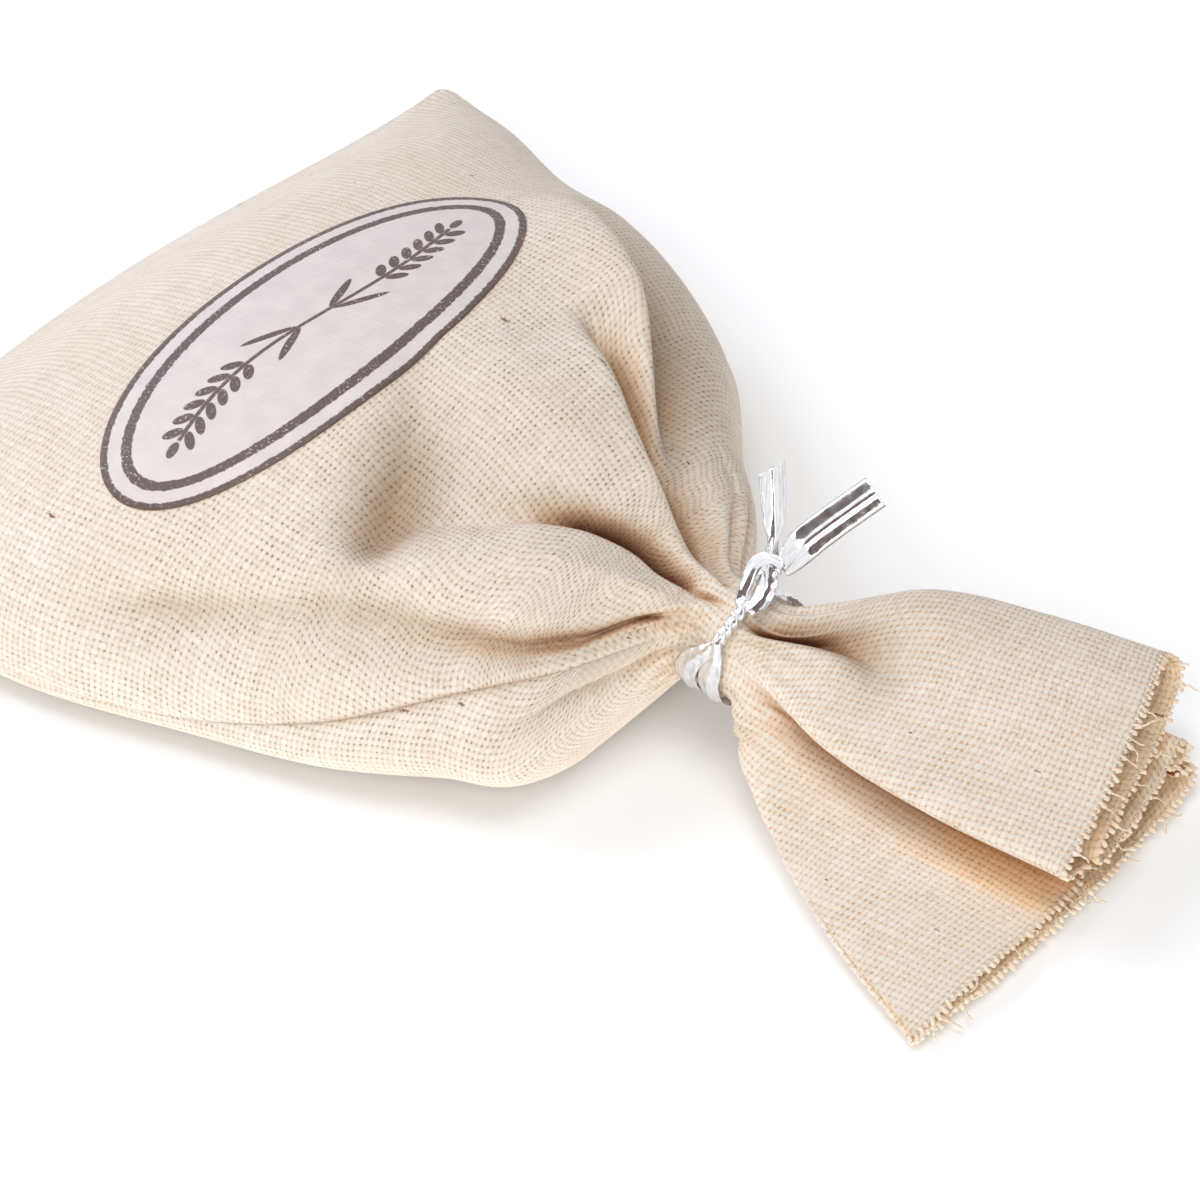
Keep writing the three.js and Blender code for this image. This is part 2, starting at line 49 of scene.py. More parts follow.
# Filled body of the bag
BODY_LENGTH = 96
BODY_WIDTH = 106
CROWN_HEIGHT = 33
CROWN_FULLNESS = 0.8
UNDERSIDE_DROP = 1.12
UNDERSIDE_POWER = 2.2
SIDE_POWER = 0.6
BULGE_POWER = 0.8
CLOTH = 0.5

# Bottom seam and its two corners
END_WIDTH = 1.02
END_SEAM_HEIGHT = 12
END_SLANT = 4
END_PINCH = 0.3
END_BOW = 2.8
END_FULLNESS = 0.05
EAR_FROM_CORNER = 1.9
CORNER_RADIUS = 3
CORNER_ROW = 8

# Gathered neck under the tie
NECK_LENGTH = 9
NECK_RADIUS = 6.5
NECK_HEIGHT = 13
NECK_TOP_DEGREES = 93
NECK_FAR_SEAM_DEGREES = -20

# Ruffle beyond the tie
RUFFLE_CREST = 3
LIP_SHARE = 0.06

# Sections of the body: place, width and height as shares, seam heights, drift, slant share, bulge
BODY_SECTIONS = [
    (0.855, 1, 0.77, (7, 9), -1, 0.9, 0),
    (0.68, 0.94, 0.96, (5, 7), -2.5, 0.4, 0),
    (0.49, 0.86, 1, (5.5, 8), -0.5, 0, 0),
    (0.31, 0.705, 0.92, (10.4, 10.4), -1.5, 0, 2),
    (0.185, 0.495, 0.79, (15.5, 12.4), -3.3, 0, 5),
    (0.104, 0.345, 0.64, (17.5, 13.2), -2.8, 0, 9.5),
]
# Sections of the neck: place, degrees of the near seam
NECK_SECTIONS = [(-NECK_LENGTH / 2, 160), (0, 152), (NECK_LENGTH / 2, 145)]
# Sections of the ruffle: share of its length and spread, crest, bow of the lip
RUFFLE_SECTIONS = [(0.3, 0.48, 1, 3), (0.62, 0.77, 0.5, 2.6)]

# Fineness of the cloth
ROWS_PER_SPAN = [14, 14, 21, 21, 14, 14, 21, 7, 7, 21, 28, 21]
COLUMNS = 200
FRONT_MIDDLE = COLUMNS // 2
BACK_MIDDLE = int(0.86 * COLUMNS)
NECK_STATION = 8

# Yarn spacing of the weave
END_PITCH = 0.92
PICK_PITCH = 0.68


def unit(vectors):
    return vectors / np.maximum(np.linalg.norm(vectors, axis=-1, keepdims=True), 1e-9)


def outward(grid):
    return unit(np.cross(np.gradient(grid, axis=0), np.gradient(grid, axis=1)))


def square_to(line, vectors):
    return unit(vectors - line * (vectors * line).sum(axis=-1, keepdims=True))


def run_along(places):
    return np.concatenate([[0], np.cumsum(np.linalg.norm(np.diff(places, axis=0), axis=-1))])


def smoothstep(low, high, value):
    share = np.clip((value - low) / (high - low), 0, 1)
    return share * share * (3 - 2 * share)


# A curve that runs smoothly through its points, whatever their spacing
def smooth_curve(points, place, closed=False):
    count = len(points)
    spans = count if closed else count - 1
    place = np.clip(place, 0, spans - 1e-9)
    span = np.floor(place).astype(int)
    before = 2 * points[0] - points[1]
    after = 2 * points[-1] - points[-2]

    def at(index):
        if closed:
            return points[index % count]
        found = points[np.clip(index, 0, count - 1)]
        found = np.where((index < 0)[:, None], before, found)
        return np.where((index >= count)[:, None], after, found)

    def step(a, b):
        return np.maximum(np.linalg.norm(b - a, axis=-1, keepdims=True), 1e-6) ** 0.5

    p0, p1, p2, p3 = at(span - 1), at(span), at(span + 1), at(span + 2)
    d0, d1, d2 = step(p0, p1), step(p1, p2), step(p2, p3)
    m1 = ((p1 - p0) / d0 - (p2 - p0) / (d0 + d1) + (p2 - p1) / d1) * d1
    m2 = ((p2 - p1) / d1 - (p3 - p1) / (d1 + d2) + (p3 - p2) / d2) * d1
    u = (place - span)[:, None]
    cubic = (2 * p1 - 2 * p2 + m1 + m2) * u**3
    square = (-3 * p1 + 3 * p2 - 2 * m1 - m2) * u**2
    return cubic + square + m1 * u + p1


# The lofted bag: t runs from the near seam over the top to the far seam, and back below
def body_section(
    t, along, half, crown, seams, drift, belly=0, slant=0, bulge=0, bow=0, fullness=CROWN_FULLNESS
):
    upper = t <= 0.5
    swing = 2 * np.pi * np.where(upper, t, t - 0.5)
    turn = np.where(upper, -np.cos(swing), np.cos(swing))
    swell = np.clip(np.sin(swing), 0, 1)
    near_seam, far_seam = seams
    seam = near_seam + (far_seam - near_seam) * (turn + 1) / 2
    sunk = np.minimum(1, UNDERSIDE_DROP * (1 - (1 - swell) ** UNDERSIDE_POWER))
    rise = seam + (crown - seam) * swell**fullness
    fall = seam - (seam - belly) * sunk
    share = np.where(upper, turn, np.sign(turn) * abs(turn) ** SIDE_POWER)
    out = np.where(upper, 0, bulge * np.sin(np.pi * sunk) ** BULGE_POWER * (turn < 0))
    x = slant * share - along - bow * (1 - share**2) * (1 - EAR_FROM_CORNER * share**2)
    y = drift + half * share - out
    return np.stack([x, y, np.where(upper, rise, fall)], axis=-1)


def neck_section(t, x, near_seam):
    corners = [near_seam, NECK_TOP_DEGREES, NECK_FAR_SEAM_DEGREES, near_seam - 360]
    angle = np.radians(np.interp(t, [0, 0.25, 0.5, 1], corners))
    y = NECK_RADIUS * np.cos(angle)
    z = NECK_HEIGHT + NECK_RADIUS * np.sin(angle)
    return np.stack([np.full_like(t, x), y, z], axis=-1)


# The cut edge of the mouth as it lies: an upper lobe, two pleats below it, then the lower lobe
FRONT_EDGE = [
    (48.5, -3, 9.4), (46.7, 6, 11.6), (44.5, 14, 13.6), (41.5, 23, 14.5), (38.9, 30, 13),
    (40.3, 30.6, 10.6), (43.2, 24, 9), (46.2, 13, 8.2), (48.2, 5, 7), (48.6, 4.4, 5.8),
    (47.6, 12, 5.2), (46.2, 20, 5.8), (45.2, 25, 6.8), (45.6, 25.6, 5.4), (46.4, 22, 4.6),
]
BACK_EDGE = [
    (46.9, 25.2, 3.6), (47.3, 24.5, 2.2), (47.9, 12, 1), (48, -9, 0.9),
    (46.5, -27.3, 1.4), (47, -16, 3.2), (47.4, -5, 2.8), (46.8, 4.5, 3.2),
]
FAR_CORNER = 4
FAR_CORNER_T = 0.33


def mouth_section(t):
    points = np.array(FRONT_EDGE + BACK_EDGE, dtype=float)
    front_spans = len(FRONT_EDGE) - 1
    spans = len(points)
    place = np.interp(t, [0, FAR_CORNER_T, 0.5, 1], [0, FAR_CORNER, front_spans, spans])
    return smooth_curve(points, place % spans, closed=True)


def ruffle_section(neck, mouth, t, share, spread, lift, lip_bow):
    crest = np.where(t < 0.5, RUFFLE_CREST * lift * np.sin(2 * np.pi * t), 0)
    moved = neck + (mouth - neck) * np.array([share, spread, spread])
    moved[:, 2] += crest
    moved[:, 1] -= lip_bow * np.exp(-((np.minimum(t, 1 - t) / LIP_SHARE) ** 2))
    return moved


def all_sections(t):
    half = BODY_WIDTH / 2
    end = body_section(
        t, BODY_LENGTH, half * END_WIDTH, END_SEAM_HEIGHT + END_PINCH, [END_SEAM_HEIGHT] * 2, 0,
        belly=END_SEAM_HEIGHT - END_PINCH, slant=END_SLANT, bow=END_BOW, fullness=END_FULLNESS,
    )
    bodies = [
        body_section(
            t, BODY_LENGTH * along, half * width, CROWN_HEIGHT * height, seams, drift,
            slant=END_SLANT * slant, bulge=bulge,
        )
        for along, width, height, seams, drift, slant, bulge in BODY_SECTIONS
    ]
    necks = [neck_section(t, *row) for row in NECK_SECTIONS]
    mouth = mouth_section(t)
    ruffles = [ruffle_section(necks[-1], mouth, t, *row) for row in RUFFLE_SECTIONS]
    return np.stack([end, *bodies, *necks, *ruffles, mouth])


def stations():
    places = [0.0]
    for span, steps in enumerate(ROWS_PER_SPAN):
        places += [span + (step + 1) / steps for step in range(steps)]
    return np.array(places)


# The corner of the bag where a side seam meets the bottom seam, rounded as it was turned out
def round_corner(grid, column):
    corner = grid[0, column, :2].copy()
    middle = grid[0, grid.shape[1] // 2, :2]
    sides = np.stack([unit(middle - corner), unit(grid[CORNER_ROW, column, :2] - corner)], axis=1)
    rows = grid[: ROWS_PER_SPAN[0], :, :2]
    from_end = np.linalg.solve(sides, (rows - corner).reshape(-1, 2).T).T.reshape(rows.shape)
    inside = CORNER_RADIUS - from_end
    reach = np.hypot(inside[..., 0], inside[..., 1])
    beyond = (inside > 0).all(axis=-1) & (reach > CORNER_RADIUS)
    kept = CORNER_RADIUS - inside * (CORNER_RADIUS / np.maximum(reach, 1e-6))[..., None]
    rows[beyond] = corner + kept[beyond] @ sides.T


def lofted(t):
    sections = all_sections(t)
    rails = [smooth_curve(sections[:, j], stations()) for j in range(len(t))]
    grid = np.stack(rails, axis=1)
    grid[..., 2] = np.maximum(grid[..., 2], 0)
    round_corner(grid, 0)
    round_corner(grid, -1)
    return grid


# Cloth measure: u from the tie along the bag, v across it from the column that is asked for
def cloth_measure(grid, column):
    u = run_along(grid[:, column])
    u -= u[int(np.argmin(abs(stations() - NECK_STATION)))]
    across = np.linalg.norm(np.diff(grid, axis=1), axis=-1)
    v = np.concatenate([np.zeros((len(grid), 1)), np.cumsum(across, axis=1)], axis=1)
    return np.repeat(u[:, None], grid.shape[1], axis=1), v - v[:, column : column + 1]


# Folds of the front panel: along from the tie, across from its middle, depth, near and far breadth
FAR_HOLLOW = [
    (-61, 44, 0, 5, 9), (-53.5, 40, 2.4, 4.4, 10), (-45, 34.8, 4.2, 4, 10), (-34.9, 28, 5, 3.6, 9),
    (-26.8, 21.6, 4.2, 3, 7), (-20.6, 16.8, 2.4, 2.6, 5), (-16.3, 13.6, 0.4, 2, 4),
]
LABEL_VALLEY = [
    (-50, 1, 0, 4, 8), (-45, -7, 2, 3.4, 9), (-41, -14, 5.2, 3.2, 8.5),
    (-38.8, -19.5, 6, 3.4, 7), (-37.5, -24.6, 4.4, 3.2, 5), (-36.6, -28, 1.2, 3, 4),
]
NEAR_HOLLOW = [
    (-65, -49.6, 0, 5, 3), (-60, -48.6, 1.4, 5, 3), (-53.5, -46.4, 3.4, 5, 3), (-45, -41, 2.8, 6, 2.6),
    (-36.5, -34, 3.4, 6, 2.6), (-27.7, -28.3, 4, 5.4, 2.4), (-20.6, -22.8, 4.2, 4.2, 1.9),
    (-15.6, -19.4, 3.4, 2.8, 1.5), (-12.3, -15.5, 2.8, 1.8, 1.3), (-9.6, -11.5, 2.4, 1.4, 1.2),
    (-7.5, -7.8, 1.8, 1, 1.1), (-4.8, -5.7, 0.8, 0.7, 0.8),
]
RUFFLE_POCKET = [
    (3.6, -1.6, 1.4, 0.8, 1.4), (5.6, -1.6, 3, 0.8, 2.6), (11.4, -3.4, 4.4, 0.9, 4.4),
    (17.4, -6.2, 4.2, 1.2, 5.4), (22, -8.8, 2.6, 2.4, 5), (27, -11.4, 0, 5, 5),
]
FOLDS = [
    # soft valley from the pit to the deep crease at the tie
    [
        (-38, -24, 1.2, 3.5, 6), (-34.8, -17.8, 1.8, 3.4, 6), (-29, -12.8, 2.8, 2.6, 5),
        (-25.4, -8.2, 2.8, 1.5, 3.2), (-21.8, -4.4, 3.9, 1.1, 2.1), (-18.6, -1.9, 5.6, 0.9, 1.5),
        (-13.4, 0.6, 6.4, 0.8, 1.2), (-9, 0.2, 4.4, 0.8, 1.2), (-5.3, -1.2, 2, 0.7, 0.9),
        (-1, -1.2, 0.5, 0.6, 0.6),
    ],
    LABEL_VALLEY,
    NEAR_HOLLOW,
    # step below the ridge of the main bulge
    [
        (-42.4, 19, 0, 2.4, 6), (-38.2, 17.4, 3.2, 1.8, 6), (-34.1, 15.8, 6, 1.6, 6),
        (-25, 12.1, 7, 1.5, 5.5), (-19.8, 10.5, 7, 1.4, 4.5), (-10.5, 7, 5, 1.2, 3),
        (-3.2, 1.8, 1, 0.9, 1.4),
    ],
    # ridge from which the cloth turns down to the far side, and the hollow behind it
    [
        (-64, 40, 0, 7, 3), (-56, 34.5, -2.2, 7, 3), (-46, 28.2, -4.2, 6, 2.4),
        (-35.5, 22, -4.8, 5, 2.2), (-27.5, 17.2, -3.6, 3.4, 1.8), (-20, 14, -0.4, 2, 2),
    ],
    FAR_HOLLOW,
    # crest of the main bulge beside the step
    [
        (-41, 15, 0, 6, 3), (-33.5, 12.6, -1.8, 7, 2.6), (-24.5, 9.2, -2.2, 6, 2.2),
        (-17, 6.6, -1.6, 4, 1.8), (-9, 4.4, 0, 2, 1.5),
    ],
    # fine pleats down the far side of the neck
    [
        (-20, 23, 0, 0.8, 0.8), (-13.6, 19, 0.8, 0.8, 0.9),
        (-9.3, 13.6, 0.9, 0.7, 0.8), (-5, 8.4, 0.4, 0.6, 0.6),
    ],
    [
        (-19, 27, 0, 0.8, 0.8), (-13, 22.4, 0.8, 0.8, 0.9),
        (-8.6, 16.4, 0.9, 0.7, 0.8), (-4.6, 11, 0.4, 0.6, 0.6),
    ],
    # crown of the main bulge
    [(-46, 8, 0, 8, 8), (-38, 2, -1.6, 9, 8), (-28, 2, -1.6, 7, 6), (-20, 4, 0, 5, 4)],
    # swell between the two creases
    [
        (-31, -22.5, -1.2, 6, 5), (-18.3, -9.9, -2.2, 4.5, 4),
        (-11, -5, -1.8, 2.4, 2.2), (-7, -4, -0.8, 1.6, 1.2),
    ],
    # fine crease above the near seam
    [
        (-14, -22, 0, 0.8, 0.8), (-8.7, -13.2, 0.5, 0.8, 0.8),
        (-5.8, -8, 0.6, 0.8, 0.8), (-2.6, -5.6, 0.3, 0.6, 0.6),
    ],
    RUFFLE_POCKET,
]
BACK_FOLDS = [
    # the lower lobe of the ruffle swells out straight from the tie
    [
        (4, -2.4, 0, 2.4, 2.4), (6.6, -3, -2, 2.8, 2.8), (10, -5, -2.4, 3.4, 3.4),
        (14.3, -8.8, -1.2, 4, 4), (20, -13.6, 0, 4, 4),
    ],
    # pleat under the near seam
    [
        (-4.6, 0.6, 0.4, 0.6, 0.6), (-9.7, 2.8, 0.9, 0.8, 0.8), (-16, 7.2, 1.1, 0.8, 1),
        (-22.6, 12, 0.9, 0.8, 1), (-30, 14, 0, 0.8, 0.8),
    ],
]
FOLD_STEPS = 5
FOLD_POWER = 1.6
CLEAR_OF_SEAM = 2.5
SEAM_TUCK = 0.15
SEAM_TUCK_BREADTH = 1.2
LEAST_DIP = 0.8

# Small gathers on both sides of the tie
GATHERS = 17
GATHER_WANDER = 1.7
GATHER_DEPTH = 0.32
GATHER_FROM_TIE = 7
GATHER_REACH = 5


# Depth of one fold all over a panel
def fold_depth(u, v, path):
    steps = np.linspace(0, len(path) - 1, FOLD_STEPS * len(path))
    knots = smooth_curve(np.array(path, dtype=float), steps)
    nearest = np.full(u.shape, np.inf)
    found = np.zeros(u.shape)
    for first, last in zip(knots, knots[1:]):
        du, dv = last[:2] - first[:2]
        share = np.clip(((u - first[0]) * du + (v - first[1]) * dv) / (du**2 + dv**2), 0, 1)
        away = np.hypot(u - first[0] - share * du, v - first[1] - share * dv)
        far_side = du * (v - first[1]) - dv * (u - first[0]) > 0
        depth, near, far = (first[k] + (last[k] - first[k]) * share for k in range(2, 5))
        dip = depth * np.exp(-((away / np.where(far_side, far, near)) ** FOLD_POWER))
        found = np.where(away < nearest, dip, found)
        nearest = np.minimum(nearest, away)
    return found


# The direction in which both panels dip at a seam that they share
def seam_dip(first, second):
    both = first + second
    size = np.linalg.norm(both, axis=-1, keepdims=True)
    return both / np.maximum(size, LEAST_DIP)


def folded(grid, folds, column, first_dip, last_dip):
    u, v = cloth_measure(grid, column)
    from_first = v - v[:, :1]
    from_last = v[:, -1:] - v
    depth = sum((fold_depth(u, v, path) for path in folds), np.zeros(u.shape))
    turn = 2 * np.pi * np.linspace(0, 0.5, grid.shape[1])
    gathers = np.cos(GATHERS * turn + GATHER_WANDER * np.sin(3 * turn))
    depth += GATHER_DEPTH * gathers * np.exp(-(((abs(u) - GATHER_FROM_TIE) / GATHER_REACH) ** 2))
    fade = smoothstep(0, CLEAR_OF_SEAM, np.minimum(from_first, from_last))[..., None]
    moved = grid - fade * outward(grid) * depth[..., None]
    for dip, away in ((first_dip, from_first), (last_dip, from_last)):
        tuck = SEAM_TUCK * (1 - smoothstep(0, SEAM_TUCK_BREADTH, away))
        moved = moved - dip[:, None] * tuck[..., None]
    return moved


# Pieces shaped from a grid of places, with their own measures as UV maps
def grid_mesh(grid, maps):
    rows, columns = grid.shape[:2]
    bm = bmesh.new()
    bmesh.ops.create_grid(bm, x_segments=columns - 1, y_segments=rows - 1, size=1)
    bm.verts.index_update()
    places = ((grid + NECK_AT) * MM).reshape(-1, 3)
    for vert, place in zip(bm.verts, places):
        vert.co = place
    layers = {name: bm.loops.layers.uv.new(name) for name in maps}
    flats = {name: np.stack([part.ravel() for part in pair], axis=1) for name, pair in maps.items()}
    for face in bm.faces:
        face.smooth = True
        for loop in face.loops:
            for name, layer in layers.items():
                loop[layer].uv = flats[name][loop.vert.index]
    return bm


def in_scene(name, data):
    made = bpy.data.objects.new(name, data)
    bpy.context.scene.collection.objects.link(made)
    return made


def aimed(name, data, place, heading):
    made = in_scene(name, data)
    made.location = place
    made.rotation_mode = "QUATERNION"
    made.rotation_quaternion = heading.to_track_quat("-Z", "Y")
    return made


def finished_piece(name, bm, paint):
    mesh = bpy.data.meshes.new(name)
    bm.to_mesh(mesh)
    bm.free()
    mesh.materials.append(paint)
    return in_scene(name, mesh)


def sheet_piece(name, grid, maps, thickness, paint, inner=None):
    bm = grid_mesh(grid, maps)
    bmesh.ops.reverse_faces(bm, faces=bm.faces)
    piece = finished_piece(name, bm, paint)
    solid = piece.modifiers.new("thickness", "SOLIDIFY")
    solid.thickness = thickness * MM
    solid.offset = -1
    if inner is not None:
        piece.data.materials.append(inner)
        solid.material_offset = 1
    return piece


# New parts of a mesh, turned from upright to a heading and moved to their place
def set_down(bm, verts, heading, place):
    turn = heading.to_track_quat("Z", "Y").to_matrix().to_4x4()
    bmesh.ops.transform(bm, matrix=turn, verts=verts)
    bmesh.ops.translate(bm, vec=place, verts=verts)


# A closed body swept through rings of places, flat at both ends
def swept_piece(name, rings, maps, paint):
    bm = grid_mesh(rings, maps)
    bmesh.ops.remove_doubles(bm, verts=bm.verts, dist=1e-7)
    bmesh.ops.holes_fill(bm, edges=bm.edges, sides=0)
    bmesh.ops.recalc_face_normals(bm, faces=bm.faces)
    return finished_piece(name, bm, paint)


def carried(piece, body, slot, *nodes):
    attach(piece, body)
    if nodes:
        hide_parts(*nodes)


# Camera at the photograph's angle
AZIMUTH = math.radians(40)
ELEVATION = math.radians(45)
PIXELS_PER_MM = 8.7
DISTANCE = 650
PICTURE = 1200
SENSOR = 36
NECK_PIXEL = (740, 640)


def make_camera():
    level = math.cos(ELEVATION)
    back = Vector((math.sin(AZIMUTH) * level, -math.cos(AZIMUTH) * level, math.sin(ELEVATION)))
    right = Vector((math.cos(AZIMUTH), math.sin(AZIMUTH), 0))
    up = back.cross(right)
    neck = Vector(NECK_AT) + Vector((0, 0, NECK_HEIGHT))
    aside = (PICTURE / 2 - NECK_PIXEL[0]) / PIXELS_PER_MM
    above = (NECK_PIXEL[1] - PICTURE / 2) / PIXELS_PER_MM
    data = bpy.data.cameras.new("camera")
    data.sensor_width = SENSOR
    data.lens = PIXELS_PER_MM * DISTANCE * SENSOR / PICTURE
    data.clip_start = 0.01
    place = (neck + right * aside + up * above + back * DISTANCE) * MM
    bpy.context.scene.camera = aimed("camera", data, place, -back)


make_camera()


# Shader building
class Shading:
    """Adds and joins the nodes of one material or node group."""

    def __init__(self, tree):
        self.tree = tree

    def add(self, kind, **settings):
        made = self.tree.nodes.new("ShaderNode" + kind)
        for name, value in settings.items():
            setattr(made, name, value)
        return made

    def put(self, socket, value):
        if isinstance(value, bpy.types.NodeSocket):
            self.tree.links.new(value, socket)
        else:
            socket.default_value = value

    def fill(self, sockets, values):
        for name, value in values.items():
            self.put(sockets[name], value)

    def node(self, kind, values, **settings):
        made = self.add(kind, **settings)
        self.fill(made.inputs, values)
        return made.outputs

    def row(self, made, *values):
        for socket, value in zip(made.inputs, values):
            self.put(socket, value)
        return made.outputs

    def uv(self, name):
        return self.add("UVMap", uv_map=name).outputs["UV"]

    def place(self):
        return self.add("TexCoord").outputs["Object"]

    def split(self, vector):
        return self.row(self.add("SeparateXYZ"), vector)

    def vector(self, x, y):
        return self.row(self.add("CombineXYZ"), x, y)[0]

    def maths(self, operation, *values):
        return self.row(self.add("Math", operation=operation), *values)[0]

    plus = partialmethod(maths, "ADD")
    less = partialmethod(maths, "SUBTRACT")
    times = partialmethod(maths, "MULTIPLY")
    over = partialmethod(maths, "DIVIDE")
    multiply_add = partialmethod(maths, "MULTIPLY_ADD")

    def largest(self, first, *others):
        for other in others:
            first = self.maths("MAXIMUM", first, other)
        return first

    def noise(self, place, scale, detail=2.0, roughness=0.5, dimensions="3D"):
        values = {"Vector": place, "Scale": scale, "Detail": detail, "Roughness": roughness}
        return self.node("TexNoise", values, noise_dimensions=dimensions)["Fac"]

    def spread(self, value, low, high, to_low=0.0, to_high=1.0, soft=True):
        made = self.add("MapRange", interpolation_type="SMOOTHSTEP" if soft else "LINEAR")
        return self.row(made, value, low, high, to_low, to_high)["Result"]

    def blend(self, share, first, second, kind="MIX"):
        values = {"Factor": share, "A": first, "B": second}
        results = self.node("Mix", values, data_type="RGBA", blend_type=kind)
        return [socket for socket in results if socket.type == "RGBA"][0]

    def tinted(self, share, colour, tint):
        return self.blend(share, colour, self.blend(1.0, colour, tint, kind="MULTIPLY"))

    def bump(self, height, distance):
        return self.node("Bump", {"Height": height, "Distance": distance})["Normal"]


def linear(red, green, blue):
    """A colour as it shows on the screen, from 0 to 255, as light."""
    values = [value / 255 for value in (red, green, blue)]
    light = [v / 12.92 if v <= 0.04045 else ((v + 0.055) / 1.055) ** 2.4 for v in values]
    return (*light, 1.0)


# A node group that reads the cloth's measure and some numbers
def new_group(name, numbers, results):
    tree = bpy.data.node_groups.new(name, "ShaderNodeTree")
    tree.interface.new_socket("Cloth", in_out="INPUT", socket_type="NodeSocketVector")
    for in_out, labels in (("INPUT", numbers), ("OUTPUT", results)):
        for label in labels:
            tree.interface.new_socket(label, in_out=in_out, socket_type="NodeSocketFloat")
    given = tree.nodes.new("NodeGroupInput").outputs
    return Shading(tree), given, tree.nodes.new("NodeGroupOutput").inputs


# Plain weave: threads over and under each other, thick and thin along their length
def weave_group():
    results = ["Height", "Gaps", "Tone"]
    make, given, result = new_group("plain_weave", ["Across pitch", "Along pitch"], results)
    cloth = given["Cloth"]
    along, across = make.split(cloth)[:2]
    drift = make.less(make.noise(cloth, 0.09), 0.5)
    ends = make.plus(make.over(across, given["Across pitch"]), make.times(drift, 1.6))
    picks = make.plus(make.over(along, given["Along pitch"]), make.times(drift, 2.2))
    end, pick = make.maths("FLOOR", ends), make.maths("FLOOR", picks)
    beside_end = make.less(make.maths("FRACT", ends), 0.5)
    beside_pick = make.less(make.maths("FRACT", picks), 0.5)

    def slub(run, number):
        place = make.vector(make.times(run, 0.13), make.times(number, 3.71))
        return make.noise(place, 1.0, detail=3.0, roughness=0.6, dimensions="2D")

    def body(beside, thickness):
        half = make.multiply_add(thickness, 0.44, 0.2)
        ratio = make.over(beside, half)
        left = make.less(1.0, make.times(ratio, ratio))
        return make.maths("SQRT", make.largest(left, 0.0))

    def wave(beside):
        return make.maths("COSINE", make.times(beside, math.pi))

    end_slub, pick_slub = slub(picks, end), slub(ends, make.plus(pick, 57.3))
    odd = make.maths("FLOORED_MODULO", make.plus(end, pick), 2.0)
    lift = make.times(make.multiply_add(odd, -2.0, 1.0), 0.32)
    end_lift = make.plus(make.times(lift, wave(beside_pick)), 0.68)
    pick_lift = make.less(0.68, make.times(lift, wave(beside_end)))
    end_height = make.times(body(beside_end, end_slub), end_lift)
    pick_height = make.times(body(beside_pick, pick_slub), pick_lift)
    height = make.largest(end_height, pick_height)
    upper = make.maths("GREATER_THAN", end_height, pick_height)
    tone = make.plus(make.times(upper, end_slub), make.times(make.less(1.0, upper), pick_slub))
    crossing = make.vector(make.maths("ROUND", ends), make.maths("ROUND", picks))
    chance = make.node("TexWhiteNoise", {"Vector": crossing}, noise_dimensions="2D")["Value"]
    loose = make.spread(make.noise(cloth, 0.16, detail=3.0), 0.36, 0.62, 0.5, 1.0)
    opened = make.times(make.spread(chance, 0.0, 1.0, 0.1, 0.85), loose)
    gap = make.spread(height, 0.08, 0.6, 1.0, 0.0)
    make.fill(result, {"Height": height, "Gaps": make.times(gap, opened), "Tone": tone})
    return make.tree


# Seed husks caught in the yarn: a few small dark flecks
def fleck_group():
    make, given, result = new_group("seed_flecks", ["Size", "Share"], ["Flecks"])
    cloth = given["Cloth"]
    slim = make.node("Mapping", {"Vector": cloth, "Rotation": (0.0, 0.0, 0.9), "Scale": (0.7, 2.0, 1.0)})[0]
    cells = make.node("TexVoronoi", {"Vector": slim, "Scale": 0.16}, voronoi_dimensions="2D")
    chance = make.row(make.add("SeparateColor"), cells["Color"])
    picked = make.maths("LESS_THAN", chance[0], given["Share"])
    ragged = make.multiply_add(make.noise(cloth, 3.0, detail=4.0, roughness=0.7), 3.6, -1.1)
    edge = make.times(make.times(given["Size"], ragged), chance[1])
    spot = make.maths("LESS_THAN", cells["Distance"], edge)
    make.put(result["Flecks"], make.times(picked, spot))
    return make.tree


WEAVE = weave_group()
FLECKS = fleck_group()
PITCHES = {"Across pitch": END_PITCH, "Along pitch": PICK_PITCH}
FLECK_SIZES = {"Size": 0.11, "Share": 0.06}


def new_paint(name):
    paint = bpy.data.materials.new(name)
    paint.use_nodes = True
    return paint, Shading(paint.node_tree), paint.node_tree.nodes["Principled BSDF"].inputs


# Colours of the cloth, the painted shade of its folds, grooves and pinholes, and the painted warm bounce
# light at its mouth
DULL_YARN = linear(236, 224, 210)
BRIGHT_YARN = linear(244, 235, 224)
OATMEAL = linear(230, 211, 184)
# painted shadow of loose fibres
FIBRE_SHADOW = linear(218, 198, 174)
# painted shade in the grooves between yarns, warmer in the ruffle
BODY_GROOVE_SHADE, RUFFLE_GROOVE_SHADE = linear(212, 188, 154), linear(222, 184, 138)
# the weave's pinholes, coloured with painted shade: darker over the filled body, lighter in the ruffle
BODY_HOLE_SHADE, RUFFLE_HOLE_SHADE = linear(132, 102, 66), linear(200, 158, 106)
HUSK = linear(122, 74, 44)
# painted shade tints for the folds: warm, dark brown in deep creases, broad along chosen valleys
WARM_SHADE = (0.84, 0.66, 0.5, 1.0)
DEEP_SHADE = (0.34, 0.17, 0.085, 1.0)
BROAD_SHADE = (0.56, 0.49, 0.42, 1.0)
NO_SHADE = (1.0, 1.0, 1.0, 1.0)
# painted warm bounce light in the mouth of the ruffle
MOUTH_BOUNCE_LIGHT = (1.1, 0.99, 0.82, 1.0)


